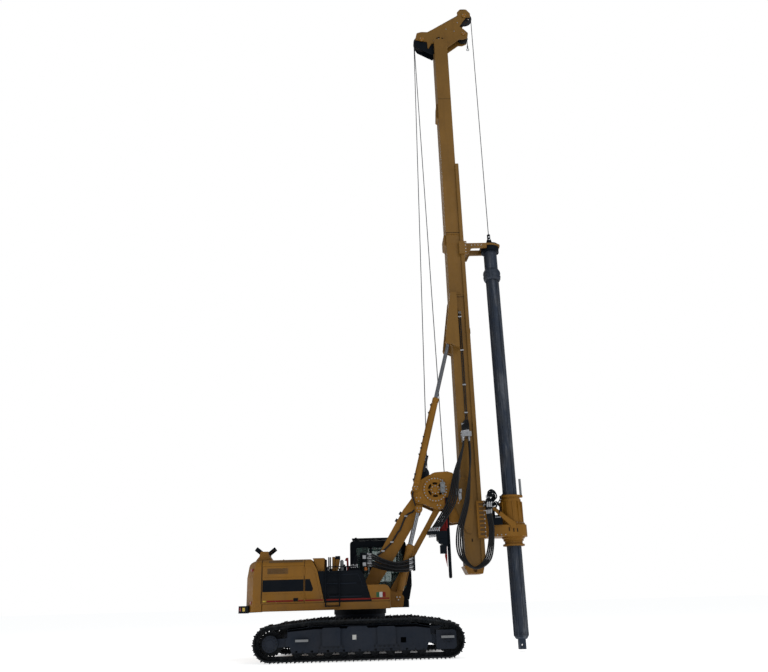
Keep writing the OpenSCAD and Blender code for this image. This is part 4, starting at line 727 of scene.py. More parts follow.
def belt_points(step_share):
    """(x, z, normal angle) on the chain line for every shoe, moved along by a share of its length."""
    rows = belt_rows()
    total = sum(w[2] * turn + run for w, start, turn, run in rows)
    count = round(total / SHOE_PITCH)
    points = []
    for k in range(count):
        s = (total / count * (k + step_share)) % total
        for w, start, turn, run in rows:
            if s < w[2] * turn + run:
                break
            s -= w[2] * turn + run
        t = start + min(s / w[2], turn)
        on = max(s - w[2] * turn, 0)
        points.append((w[0] + w[2] * cos(t) - on * sin(t),
                       w[1] + w[2] * sin(t) + on * cos(t), t))
    return points


def track_details():
    bolts = Piece("shoe_bolts", "chassis", TRACK, 0)
    pins = Piece("link_pins", "chassis", TRACK, 0.003)
    for side in SIDES:
        for share in (-0.2, -0.03):
            for x, z, t in belt_points(share):
                n = Vector((cos(t), 0, sin(t)))
                for dy in (-0.095, 0.095):
                    foot = Vector((x, side * TRACK_Y + dy, z)) + n * 0.021
                    bolts.rod(foot, foot + n * 0.017, 0.017, 6)
        for x, z, t in belt_points(0.5):
            for dy in SIDES:
                y = side * TRACK_Y + dy * 0.129
                pins.stud((x - 0.05 * cos(t), z - 0.05 * sin(t)), y, y + dy * 0.014, 0.032, 12)


def frame_details():
    grey = Piece("frame_covers", "chassis", FRAME_GREY)
    bolts = Piece("frame_bolts", "chassis", TRACK, 0)
    treads = Piece("step_treads", "chassis", GREY, 0.002)
    # Thin near-black sheets and blocks stand for the shade in the frame's openings, below its guard's top
    # edge and between the upper rollers: painted shade.
    dark = Piece("frame_painted_shade", "chassis", SHADE, 0)
    for s in SIDES:
        out = (0, s, 0)
        bolts.bolt_circle((-WHEEL_X, s * COVER_Y, WHEEL_Z), out, 0.168, 14, 0.015, 0.018)
        grey.stud((-WHEEL_X, WHEEL_Z), s * COVER_Y, s * (COVER_Y + 0.014), 0.105, 32)
        grey.stud((WHEEL_X, WHEEL_Z), s * FRAME_Y, s * (FRAME_Y + 0.02), 0.10, 32)
        bolts.bolt_circle((WHEEL_X, s * (FRAME_Y + 0.02), WHEEL_Z), out, 0.07, 6, 0.012, 0.014)
        for x in (-0.72, 0.72):
            bolts.side_bolts([(x - 0.30 + 0.12 * k, 0.345) for k in range(6)], s, FRAME_Y + 0.025)
        bolts.side_bolts([(-1.68 + 0.21 * k, 0.262) for k in range(17)], s, FRAME_Y, 0.012, 0.014)
        grey.prism([(-0.36, 0.74), (0.28, 0.74), (0.2, 0.85), (-0.28, 0.85)], *facing(s, FRAME_Y, 0.007))
        for x in (-1.48, WHEEL_X):
            treads.plate(s, 2.125, 0.006, (x - 0.17, x + 0.17), (0.505, 0.565), 0.006)
            treads.plate(s, 2.08, 0.045, (x - 0.165, x + 0.165), (0.52, 0.527), 0.045)
        dark.plate(s, FRAME_Y, 0.002, (1.09, 1.23), (0.42, 0.55), 0.002)
        shoulder = GUARD_TOP - 0.07
        dark.prism([(-1.86, 0.75), (-1.15, 0.80), (1.5, 0.80), (1.86, 0.75), (1.86, shoulder),
                    (1.5, GUARD_TOP), (-1.15, GUARD_TOP), (-1.86, shoulder)], *facing(s, FRAME_Y, 0.001))
        for k in range(8):
            x = -1.65 + 0.41 * k
            dark.plate(s, FRAME_Y, 0.0015, (x, x + 0.05), (0.245, 0.29), 0.0015)
        for x in (-1.63, 1.63):
            dark.plate(s, TRACK_Y, 0.05, (x - 0.25, x + 0.25), (0.80, 0.915), 0.05)
    label = Piece("frame_plate", "chassis", WHITE, 0.001)
    label.plate(-1, FRAME_Y, 0.003, (-0.17, -0.07), (0.525, 0.64), 0.0)


# House, counterweight and tank

ROOF_R = 0.17
ROOF_Y = HOUSE_Y - ROOF_R
ROOF_Z = 2.43
SIDE_LOW = 1.462
SKIN = 0.002
STRIPE_Z = (1.503, 1.540)
BAND_Z = (1.762, 2.07)
LOUVRE_X = (-2.502, -1.93)
LOUVRE_Z = 2.224
LID_TOP = 2.600
TANK_TOP = 2.268


def roof_band(side, first, last):
    """A thin (y, z) section on the rounded roof edge, between two angles above the side, in degrees."""
    turns = spread(first, last, 6)
    out, back = [[(side * (ROOF_Y + r * cos(t)), ROOF_Z + r * sin(t)) for t in turns]
                 for r in (ROOF_R + SKIN, ROOF_R - SKIN)]
    return out + back[::-1]


def skin(side):
    """A thin (y, z) section that follows the house side and its roof edge."""
    foot = [(side * (HOUSE_Y + out), SIDE_LOW) for out in (SKIN, -SKIN)]
    return foot[:1] + roof_band(side, 0, 90) + foot[1:]


def house_details():
    seams = Piece("house_seams", "upper", SEAM_PAINTED_SHADOW, 0)
    panels = Piece("house_panels", "upper", YELLOW, 0.006)
    bands = Piece("house_bands", "upper", BLACK, 0)
    stripes = Piece("house_stripes", "upper", RED, 0)
    grooves = Piece("roof_grooves", "upper", SHADED_YELLOW, 0)
    panel = [(-1.465, 1.57), (-1.04, 1.57), (-1.19, 2.20), (-1.215, 2.28), (-1.30, 2.41), (-1.465, 2.41)]
    band = [(-1.464, BAND_Z[0]), (-1.27, 1.755), (-1.245, 1.82), (-1.335, BAND_Z[1]), (-1.464, BAND_Z[1])]
    stripe_x = {-1: ((-1.474, -0.975), (-0.925, 0.315), (0.345, 0.83)), 1: ((-1.474, -0.975), (-0.90, -0.34))}
    for s in SIDES:
        # Seam-shadow strips at the panel joints, round the house and along the sill: painted shadow in the
        # gaps.
        seams.strip(-2.664, -2.644, skin(s))
        seams.strip(-1.490, -1.476, skin(s))
        seams.plate(s, HOUSE_Y, 0.0025, (-2.63, 0.84), (1.450, 1.461))
        # Strips of the shaded yellow along the rounded roof edge: painted shade in its groove.
        grooves.strip(-2.47, -1.53, roof_band(s, 32, 60))
        panels.prism(panel, *facing(s, HOUSE_Y, 0.010))
        bands.prism(band, *facing(s, HOUSE_Y + 0.010, 0.002))
        for x in stripe_x[s]:
            stripes.plate(s, HOUSE_Y, 0.003, x, STRIPE_Z)


def door_details():
    for s, body in ((-1, "engine_door_right"), (1, "engine_door_left")):
        band = Piece(body + "_band", body, BLACK, 0)
        band.plate(s, HOUSE_Y, 0.0025, (-2.625, -1.506), BAND_Z)
        band.plate(s, HOUSE_Y, 0.02, (-1.775, -1.655), (1.508, 1.588))
        stripe = Piece(body + "_stripe", body, RED, 0)
        for x in ((-2.50, -1.785), (-1.645, -1.506)):
            stripe.plate(s, HOUSE_Y, 0.0025, x, STRIPE_Z)
        # The louvre's slats and the plate behind them are in the shaded yellow: painted shade between the
        # slats.
        slats = Piece(body + "_slats", body, SHADED_YELLOW, 0)
        for k in range(11):
            z = LOUVRE_Z + 0.014 * k
            slats.plate(s, HOUSE_Y, 0.0025, LOUVRE_X, (z, z + 0.0085))
        slats.plate(s, HOUSE_Y - 0.010, 0.003, LOUVRE_X, (LOUVRE_Z, LOUVRE_Z + 0.1485))
        mark = Piece(body + "_reflector", body, AMBER, 0.003)
        mark.plate(s, HOUSE_Y, 0.008, (-2.61, -2.53), (1.506, 1.542))
        rim = Piece(body + "_press", body, YELLOW, 0.003)
        for z in (1.70, 2.13):
            rim.plate(s, HOUSE_Y, 0.006, (-2.60, -1.54), (z, z + 0.012))


def roof_details():
    grips = Piece("lid_grips", "hood_lid", BLACK, 0)
    low, high = LID_TOP - 0.001, LID_TOP + 0.035
    for y in (-0.7, 0.7):
        grips.pipe([(-2.15, y - 0.09, low), (-2.15, y - 0.09, high), (-2.15, y + 0.09, high),
                    (-2.15, y + 0.09, low)], 0.009)
    # Seam-shadow strips on the lid: painted shadow in its vents.
    vents = Piece("lid_vents", "hood_lid", SEAM_PAINTED_SHADOW, 0)
    for k in range(8):
        vents.box((-1.95 + 0.05 * k, -0.5, LID_TOP), (-1.925 + 0.05 * k, 0.5, LID_TOP + 0.003))
    # Seam-shadow discs at the counterweight's lifting eyes: painted shadow in their pits.
    pits = Piece("weight_eyes", "upper", SEAM_PAINTED_SHADOW, 0)
    for s in SIDES:
        pits.post(-2.86, s * 0.75, LID_TOP - 0.002, LID_TOP + 0.002, 0.07, 32)


def tail_details():
    """Reflectors on the slanting ends of the bumper."""
    rise, run = 0.2, 0.3
    for name, material, x0, x1 in (("bumper_reflectors", RED_LENS, -3.288, -3.238),
                                   ("bumper_marks", AMBER, -3.20, -3.11)):
        marks = Piece(name, "upper", material, 0.001)
        for s in SIDES:
            y = s * (1.254 + ((x0 + x1) / 2 + 3.165) * rise / run)
            turn = Matrix.Rotation(s * atan2(rise, run), 3, "Z")
            marks.box((x0, y - 0.002, 1.285), (x1, y + 0.002, 1.375), turn)


def tank_details():
    ribs = Piece("tank_rib_highlights", "upper", FRAME_GREY, 0.002)
    # The two grey strips on the black tank's groove lips are painted highlight: lighter enamel standing in
    # for the sky's shine on the lips.
    for x0, x1, z in ((-0.88, -0.06, 1.925), (-0.80, 0.08, 1.585)):
        ribs.plate(-1, HOUSE_Y, 0.007, (x0, x1), (z, z + 0.022))
    for route in ([(-0.80, 1.60), (-0.86, 1.70)], [(-0.02, 2.17), (0.07, 2.0), (0.10, 1.86)],
                  [(0.10, 1.86), (0.25, 1.84)], [(-0.02, 2.17), (-0.86, 2.17)]):
        ribs.pipe([(x, -HOUSE_Y - 0.002, z) for x, z in route], 0.006, 8)
    cap = Piece("tank_cap", "upper", BLACK, 0.005)
    cap.post(-0.12, -1.15, TANK_TOP, 2.315, 0.075, 32)
    cap.post(-0.12, -1.15, 2.315, 2.335, 0.05, 8)
    for i, material in enumerate((GREEN, WHITE, RED)):
        field = Piece("box_stripe_%d" % i, "upper", material, 0)
        x = 0.475 + 0.085 * i
        field.plate(-1, HOUSE_Y, 0.003, (x, x + 0.0845), (1.555, 1.685), 0.0005)
    # Seam-shadow strips on the tank top: painted shadow.
    steps = Piece("deck_grip_shadows", "upper", SEAM_PAINTED_SHADOW, 0)
    for k in range(9):
        steps.box((-0.84 + 0.09 * k, -1.30, 2.270), (-0.80 + 0.09 * k, -1.0, 2.273))


def valve_details():
    """Filters, valves and pipes that stand on the tank's inner edge."""
    y0, y1 = -0.92, -0.70
    black = Piece("valve_posts", "upper", BLACK)
    for x0, x1, top in ((-0.985, -0.915, 2.60), (-0.87, -0.845, 2.665), (-0.825, -0.80, 2.665)):
        black.box((x0, y0, TANK_TOP), (x1, y1, top))
    black.box((-0.665, y0, 2.605), (-0.535, y1, 2.69))
    black.box((-0.30, -0.86, TANK_TOP), (0.02, y1, 2.36))
    black.post(-0.42, -0.8, TANK_TOP, 2.46, 0.03)
    for k in range(6):
        d = 0.02 * k
        z = 2.37 + 0.05 * k
        black.tube([(d - 0.24, -0.76, 2.355), (d - 0.22, -0.72, z), (-0.08, -0.62 - d, z + 0.06),
                    (0.022, -0.46 - 0.02 * (k % 3), 2.43 + 0.055 * k)], 0.017, 10)
    yellow = Piece("valve_brackets", "upper", YELLOW, 0.005)
    yellow.box((-0.755, y0, TANK_TOP), (-0.675, y1, 2.67))
    yellow.prism([(-0.665, 2.606), (-0.54, 2.606), (-0.57, 2.42), (-0.60, 2.30), (-0.665, TANK_TOP)],
                 y0 + 0.02, y1)
    grey = Piece("filter_can", "upper", GREY, 0.006)
    grey.post(-0.485, -0.81, TANK_TOP, 2.56, 0.052, 28)
    grey.post(-0.485, -0.81, 2.56, 2.585, 0.035, 16)
    red = Piece("red_bracket", "upper", RED)
    red.prism([(-0.40, 2.56), (-0.37, 2.635), (-0.30, 2.645), (-0.285, TANK_TOP), (-0.345, TANK_TOP),
               (-0.35, 2.55)], -0.83, -0.79)
    silver = Piece("valve_fittings", "upper", ZINC, 0.002)
    for k in range(4):
        silver.post(-0.22 + 0.055 * k, -0.87, 2.36, 2.44 + 0.02 * (k % 2), 0.02, 6)
    for k in range(6):
        port = deck_port(k)
        silver.rod((0.225, *port), (0.245, *port), 0.040, 6)
    for z in (2.46, 2.66):
        silver.plate(-1, 0.600, 0.006, (0.105, 0.20), (z - 0.05, z + 0.05), 0.0)


# Cab

SEAT_X = 0.13
SEAT_Y = 1.075
SEAT_Z = 1.51
CONSOLE_Y = 0.32
GUARD_BAR_Y = 0.636
# Seat pads: how far their sides pull in, how far their corners are rounded, and their two sewn channels
PAD_PULL = 0.035
PAD_ROUND = 0.04
CHANNEL_AT = 0.45
CHANNEL_W = 0.12
CHANNEL_DEPTH = 0.006


def cab_details():
    dark = Piece("cab_trim", "upper", BLACK, 0.003)
    for x, low in ((0.10, 1.98), (0.20, 1.98), (0.55, 1.80), (0.75, 1.80), (0.95, 1.80)):
        dark.post(x, GUARD_BAR_Y, low, 3.03, 0.010, 10)
    for x, z in ((1.22, 2.30), (1.22, 2.72), (1.24, 1.82), (1.24, 3.02)):
        dark.rod((-0.12, GUARD_BAR_Y, z), (x, GUARD_BAR_Y, z), 0.010, 10)
    dark.pipe([(1.56, 1.30, 1.95), (1.57, 1.30, 2.02), (1.53, 1.02, 2.62)], 0.012)
    dark.pipe([(1.30, 1.50, 2.55), (1.38, 1.60, 2.58), (1.38, 1.60, 2.86)], 0.012)
    dark.box((1.36, 1.53, 2.58), (1.40, 1.68, 2.88))
    dark.pipe([(-0.25, 1.505, 1.7), (-0.25, 1.545, 1.7), (-0.25, 1.545, 2.5), (-0.25, 1.505, 2.5)], 0.014)
    dark.box((0.95, 0.72, SEAT_Z), (1.20, 0.86, 2.25))
    dark.box((1.02, 0.72, 2.25), (1.08, 1.00, 2.50))
    for s in SIDES:
        y = SEAT_Y + s * CONSOLE_Y
        dark.rod((0.52, y, 2.098), (0.55, y, 2.22), 0.012)
        dark.rod((0.55, y, 2.21), (0.555, y, 2.31), 0.024, 16, 0.02)
    mirror = Piece("mirror_face", "upper", CHROME, 0)
    mirror.box((1.357, 1.545, 2.595), (1.3605, 1.665, 2.865))
    grip = Piece("cab_door_grip", "cab_door", BLACK, 0.003)
    grip.box((1.10, 1.499, 2.08), (1.16, 1.512, 2.20))
    grip.pipe([(1.13, 1.51, 1.90), (1.13, 1.54, 1.90), (1.13, 1.54, 2.04), (1.13, 1.51, 2.04)], 0.012)
    screens = Piece("work_lamp_lenses", "upper", CLEAR_LENS, 0.001)
    for y in (0.815, 1.445):
        screens.box((1.4195, y - 0.045, 3.24), (1.4225, y + 0.045, 3.32))


def cushion(name, lo, hi, crown, lean=0.0):
    """A crowned pad whose sides pull in between its corners. It leans back about its rear foot."""
    bm = bmesh.new()
    bmesh.ops.create_cube(bm, size=2.0)
    bmesh.ops.subdivide_edges(bm, edges=bm.edges, cuts=7, use_grid_fill=True)
    lo = at(*lo)
    hi = at(*hi)
    half = (hi - lo) / 2
    for v in bm.verts:
        u = v.co.copy()
        bulge = [(1 - u[(i + 1) % 3] ** 2) * (1 - u[(i + 2) % 3] ** 2) for i in range(3)]
        shrink = 1 - PAD_ROUND * u.length_squared / 3
        v.co = Vector([u[i] * (half[i] * (1 - PAD_PULL * bulge[i]) * shrink + crown * bulge[i])
                       for i in range(3)])
        if u.z > 0.9:
            v.co.z -= CHANNEL_DEPTH * max(0.0, 1 - abs(abs(u.y) - CHANNEL_AT) / CHANNEL_W)
        v.co += (lo + hi) / 2
    if lean:
        turn = Matrix.Rotation(-lean, 3, "Y")
        bmesh.ops.rotate(bm, verts=bm.verts, cent=Vector((lo.x, 0, lo.z)), matrix=turn)
    obj = finish_mesh(name, bm, SEAT, PAD_SHARP)
    mod = obj.modifiers.new("soft", "SUBSURF")
    mod.levels = 1
    mod.render_levels = 1
    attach(obj, "upper")
    return obj


def seat():
    x, y, z = SEAT_X, SEAT_Y, SEAT_Z
    pad = cushion("seat_cushion", (x - 0.05, y - 0.24, z + 0.385), (x + 0.51, y + 0.24, z + 0.475), 0.012)
    cushion("seat_back", (x, y - 0.23, z + 0.50), (x + 0.075, y + 0.23, z + 1.09), 0.012, 0.11)
    base = Piece("seat_base", "upper", BLACK, 0.012)
    base.box((x, y - 0.16, z), (x + 0.46, y + 0.16, z + 0.38))
    for side_y in (y - CONSOLE_Y, y + CONSOLE_Y):
        base.box((x + 0.08, side_y - 0.05, z), (x + 0.48, side_y + 0.05, z + 0.588))
    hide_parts("seat")


# Boom linkage

CAP_NAMES = {"boom": "boom_caps", "struts": "strut_caps", "carrier": "carrier_caps",
             "lift_barrels": "lift_caps", "ram_barrels": "ram_caps"}
# Pin ends as (body, pin, distance from the middle plane, cap radius)
PIN_ENDS = (
    ("boom", BOOM_PIN, 0.37, 0.10), ("boom", LIFT_EYE, 0.575, 0.085), ("struts", STRUT_PIN, 0.431, 0.085),
    ("carrier", HEAD_PIN, CARRIER_Y, 0.11), ("carrier", STRUT_TOP, CARRIER_Y, 0.09),
    ("carrier", TILT_PIN, 0.426, 0.10), ("lift_barrels", LIFT_FOOT, 0.636, 0.08),
    ("ram_barrels", RAM_FOOT, 0.636, 0.08),
)
# Glands at the barrels' ends, as shares of the way from foot to eye
LIFT_GLAND = (0.58797, 0.59365)
RAM_GLAND = (0.594306, 0.597329)


def between(p, q, share, off=0.0, y=0.0):
    """A point at a share of the way from p to q in the side view, moved off to the right of that line."""
    dx, dz = q[0] - p[0], q[1] - p[1]
    length = hypot(dx, dz)
    return Vector((p[0] + dx * share + off * dz / length, y, p[1] + dz * share - off * dx / length))


def lean_of(p, q):
    """The turn that leans an upright box along the line from p to q."""
    return Matrix.Rotation(atan2(q[0] - p[0], q[1] - p[1]), 3, "Y")


def pin_cap(piece, bolts, centre, y, r, s):
    """A keeper plate with three bolts over a pin's end."""
    piece.stud(centre, s * y, s * (y + 0.016), r, 32)
    bolts.bolt_circle((centre[0], s * (y + 0.016), centre[1]), (0, s, 0), r * 0.6, 3, 0.012, 0.014, 0.5)


def linkage_details():
    caps = {body: Piece(name, body, YELLOW) for body, name in CAP_NAMES.items()}
    bolts = {body: Piece(body + "_bolts", body, ZINC, 0) for body in CAP_NAMES}
    for s in SIDES:
        for body, pin, y, r in PIN_ENDS:
            pin_cap(caps[body], bolts[body], pin, y, r, s)


def boom_pipes():
    """The black pipe with clips on the boom's right side, and the one that goes on over the carrier."""
    line = [(0.52, 2.725), (0.70, 2.83), (0.967, 3.075), (1.153, 3.356), (1.214, 3.411), (1.406, 3.811),
            (1.60, 3.93), (1.72, 4.03)]
    pipe = Piece("boom_pipe", "boom", HOSE, 0)
    pipe.tube([(x, -BOOM_Y - 0.026, z) for x, z in line], 0.024, 12, 8)
    for share in (0.71, 0.79):
        x, y, z = between(BOOM_PIN, HEAD_PIN, share, -0.265, -0.18)
        pipe.box((x - 0.035, y - 0.06, z - 0.045), (x + 0.035, y + 0.06, z + 0.045),
                 lean_of(BOOM_PIN, HEAD_PIN))
    clips = Piece("boom_clips", "boom", ZINC)
    for x, z in (line[1], line[2], line[5]):
        clips.plate(-1, BOOM_Y, 0.055, (x - 0.045, x + 0.045), (z - 0.022, z + 0.022))
    riser = Piece("carrier_pipe", "carrier", HOSE, 0)
    riser.tube([(1.70, -0.385, 4.10), (1.665, -0.402, 4.21), (1.635, -0.402, 4.33), (1.625, -0.402, 4.44),
                (1.66, -0.385, 4.55)], 0.02, 12, 8)


def cylinder_details():
    pipes = Piece("lift_pipes", "lift_barrels", YELLOW, 0.002)
    glands = Piece("lift_glands", "lift_barrels", BLACK, 0.003)
    ram_pipes = Piece("ram_pipes", "ram_barrels", YELLOW, 0.002)
    fittings = Piece("ram_fittings", "ram_barrels", HOSE)
    for y in (-RAM_Y, RAM_Y):
        lift = partial(between, LIFT_FOOT, LIFT_EYE, y=y)
        pipes.pipe([lift(0.16, 0.118), lift(0.545, 0.118)], 0.016)
        for share in (0.16, 0.35, 0.545):
            c = lift(share, 0.108)
            pipes.stud((c.x, c.z), y - 0.03, y + 0.03, 0.028, 12)
        glands.rod(*map(lift, LIFT_GLAND), 0.075, 24)
        ram = partial(between, RAM_FOOT, RAM_EYE, y=y)
        ram_pipes.pipe([ram(0.07, -0.10), ram(0.56, -0.10)], 0.013)
        for share in (0.085, 0.255, 0.33, 0.545):
            c = ram(share, -0.105)
            fittings.rod(c + Vector((0.02, 0, 0)), c - Vector((0.03, 0, 0.01)), 0.032, 12)
        c = ram(0.17, 0.12)
        fittings.box(c - Vector((0.035, 0.05, 0.28)), c + Vector((0.035, 0.05, 0.22)),
                     lean_of(RAM_FOOT, RAM_EYE))
        fittings.rod(*map(ram, RAM_GLAND), 0.075, 24)


def carrier_details():
    bolts = Piece("winch_bolts", "carrier", ZINC, 0)
    hub = Piece("winch_hub", "carrier", YELLOW)
    face = FLANGE_Y - 0.008
    for s in SIDES:
        out = (0, s, 0)
        bolts.bolt_circle((WINCH[0], s * FLANGE_Y, WINCH[1]), out, 0.335, 24)
        bolts.bolt_circle((WINCH[0], s * (face + 0.002), WINCH[1]), out, 0.115, 8, 0.012, 0.014)
        hub.ring((WINCH[0], s * face, WINCH[1]), out, 0.15, 0.135, 0.012)
        hub.stud(WINCH, s * face, s * (face + 0.02), 0.075, 32)
    motor = Piece("winch_motor", "carrier", GREY, 0.006)
    motor.box((2.46, -0.53, 4.46), (2.60, -FLANGE_Y + 0.012, 4.76))
    motor.stud((2.53, 4.66), -0.53, -0.57, 0.055, 24)
    motor.stud((2.53, 4.53), -0.53, -0.56, 0.04, 24)
    motor.post(2.53, -0.47, 4.76, 4.84, 0.025, 6)
    motor.post(2.53, -0.47, 4.46, 4.40, 0.025, 6)
    red = Piece("rack_marks", "carrier", RED, 0.001)
    red.box((2.275, -0.746, 3.318), (2.315, -0.735, 3.40))
    red.prism([(2.49, 2.63), (2.555, 2.30), (2.565, 2.95), (2.53, 3.05)], -0.482, -0.478)
    red.box((2.57, -0.483, 3.42), (2.62, -0.476, 3.80))
    rack = Piece("rack_boxes", "carrier", BLACK, 0.006)
    rack.box((2.30, -0.815, 2.96), (2.56, -0.80, 3.10))
    rack.box((2.33, -0.815, 2.68), (2.52, -0.80, 2.92))
    rack.rod((2.63, -0.43, 2.06), (2.63, -0.43, 2.02), 0.05, 24, 0.03)
    unions = Piece("rack_unions", "carrier", ZINC, 0.002)
    for k in range(5):
        where = (RACK_X + RACK_STEP * k, CLAMP_Y - HOSE_STEP * k)
        unions.post(*where, 3.319, 3.36, 0.034, 6)
        unions.post(*where, 3.16, 3.241, 0.03, 6)


# Mast

LINE_X = (3.36, 3.41)
LINE_STEP = 0.024
SEAM_X = (3.10, 3.58)


def mast_details():
    valves = Piece("cheek_valves", "mast", ZINC)
    for x0, x1, z0, z1 in ((2.90, 3.00, 4.42, 4.56), (2.99, 3.08, 4.24, 4.42), (3.02, 3.10, 4.44, 4.55)):
        valves.plate(-1, CHEEK_Y, 0.075, (x0, x1), (z0, z1))
        valves.stud(((x0 + x1) / 2, z0 + 0.05), -CHEEK_Y - 0.075, -CHEEK_Y - 0.095, 0.026, 6)
        valves.post(x0 + 0.03, -CHEEK_Y - 0.04, z0, z0 - 0.05, 0.02, 6)
    pipes = Piece("mast_pipes", "mast", HOSE, 0)
    clamps = Piece("mast_clamps", "mast", ZINC, 0.002)
    line_y = -MAST_Y - 0.022
    for z in (6.9, 7.8, 8.95, 10.1):
        clamps.plate(-1, MAST_Y, 0.042, (3.33, 3.44), (z - 0.02, z + 0.02))
    for x in LINE_X:
        pipes.pipe([(x, line_y, 6.52), (x, line_y, 10.22)], 0.014)
        clamps.post(x, line_y, 10.20, 10.28, 0.024, 6)
    for k in range(9):
        x = 3.205 + LINE_STEP * k
        y = CLAMP_Y - LINE_STEP * k
        pipes.tube([(x, y, 6.225), (x + 0.01, y, 6.36), (x + 0.03, -0.47 - 0.01 * k, 6.52),
                    (3.33 + 0.012 * k, line_y, 6.66)], 0.014, 10)
        clamps.post(x, y, 6.228, 6.30, 0.022, 6)
    for x in (3.15, 3.44):
        for z in (6.12, 6.19):
            clamps.stud((x, z), -0.80, -0.815, 0.018, 6)
    bolts = Piece("cheek_bolts", "mast", YELLOW, 0)
    seams = Piece("mast_seams", "mast", SEAM_PAINTED_SHADOW, 0)
    cheek = ((3.20, 3.33), (3.26, 3.45), (3.35, 3.95), (3.36, 4.3), (3.36, 4.7), (3.25, 4.80), (3.14, 4.86))
    joint = [(3.12 + 0.10 * k, z) for k in range(5) for z in (12.74, 13.08)]
    for s in SIDES:
        bolts.side_bolts(cheek, s, CHEEK_Y, 0.016, 0.018)
        bolts.side_bolts(joint, s, MAST_Y - 0.001, 0.013)
        # Seam-shadow strips at the mast's joints, and one small patch: painted shadow.
        for z in ((10.795, 10.815), (13.165, 13.185), (18.62, 18.635)):
            seams.plate(s, MAST_Y, 0.0015, SEAM_X, z, 0.0015)
    seams.plate(-1, MAST_Y, 0.002, (3.31, 3.35), (3.02, 3.11), 0.002)


def head_details():
    caps = Piece("sheave_caps", "mast", YELLOW, 0.005)
    bolts = Piece("sheave_bolts", "mast", ZINC, 0)
    dark = Piece("head_fittings", "mast", BLACK, 0.003)
    plate = ((3.12, 21.42), (3.30, 21.5), (3.46, 21.42), (3.9, 21.85), (3.6, 21.95), (4.05, 22.25))
    pins = ((FRONT_SHEAVE, 0.216, 0.10), (REAR_SHEAVE, 0.216, 0.10), (AUX_SHEAVE, 0.206, 0.08))
    for s in SIDES:
        for centre, y, r in pins:
            pin_cap(caps, bolts, centre, y, r, s)
        bolts.side_bolts(plate, s, 0.196, 0.016, 0.018)
        dark.plate(s, 0.178, 0.022, (4.20, 4.34), (22.86, 22.89), 0.022)
    dark.tube([(3.16, -0.20, 21.36), (3.2, -0.215, 21.50), (3.34, -0.215, 21.56), (3.48, -0.212, 21.47),
               (3.52, -0.20, 21.36)], 0.012, 10)
    hook = Piece("rope_shackle", "mast", ZINC, 0.002)
    x = AUX_SHEAVE[0] + AUX_SHEAVE_R
    hook.post(x, AUX_Y, 21.40, 21.27, 0.028, 16)
    hook.ring((x, AUX_Y - 0.012, 21.22), (0, 1, 0), 0.055, 0.032, 0.024, 28)


# Rotary drive and kelly

RAIL_X = 3.72
POCKET_STEP = 0.122
MOTOR_PORT_X = 4.01


def drive_details():
    bolts = Piece("drive_bolts", "drive", ZINC, 0)
    pockets = Piece("sledge_pockets", "drive", SHADED_YELLOW, 0)
    slots = Piece("drive_slots", "drive", SEAM_PAINTED_SHADOW, 0)
    bolts.bolt_circle((KELLY_X, 0, 3.54), UP, 0.363, 24, 0.011, 0.014)
    for s in SIDES:
        for k in range(5):
            bolts.bolt((3.84 + 0.12 * k, s * (0.368 + 0.011 * k), 3.20), (0.09, s, 0), 0.013)
        bolts.side_bolts([(RAIL_X, 3.163 + POCKET_STEP * k) for k in range(9)], s, 0.5255, 0.013)
        # The rail's pockets are thin plates in the shaded yellow: painted shade in them.
        for k in range(8):
            z = 3.185 + POCKET_STEP * k
            pockets.plate(s, 0.4955, 0.002, (3.57, 3.73), (z, z + 0.077))
        # Seam-shadow plates on the drive's sides: painted shadow in its slots.
        for x, z in ((4.42, 3.30), (4.55, 3.27), (4.66, 3.27)):
            slots.plate(s, 0.42, 0.003, (x, x + 0.035), (z, z + 0.10), 0.003)
    brace = Piece("drive_brace", "drive", YELLOW, 0.006)
    brace.prism([(3.93, 3.98), (4.05, 4.00), (4.64, 3.53), (4.64, 3.38), (4.50, 3.38), (4.46, 3.47)],
                -0.455, -0.419)
    drive_hydraulics()


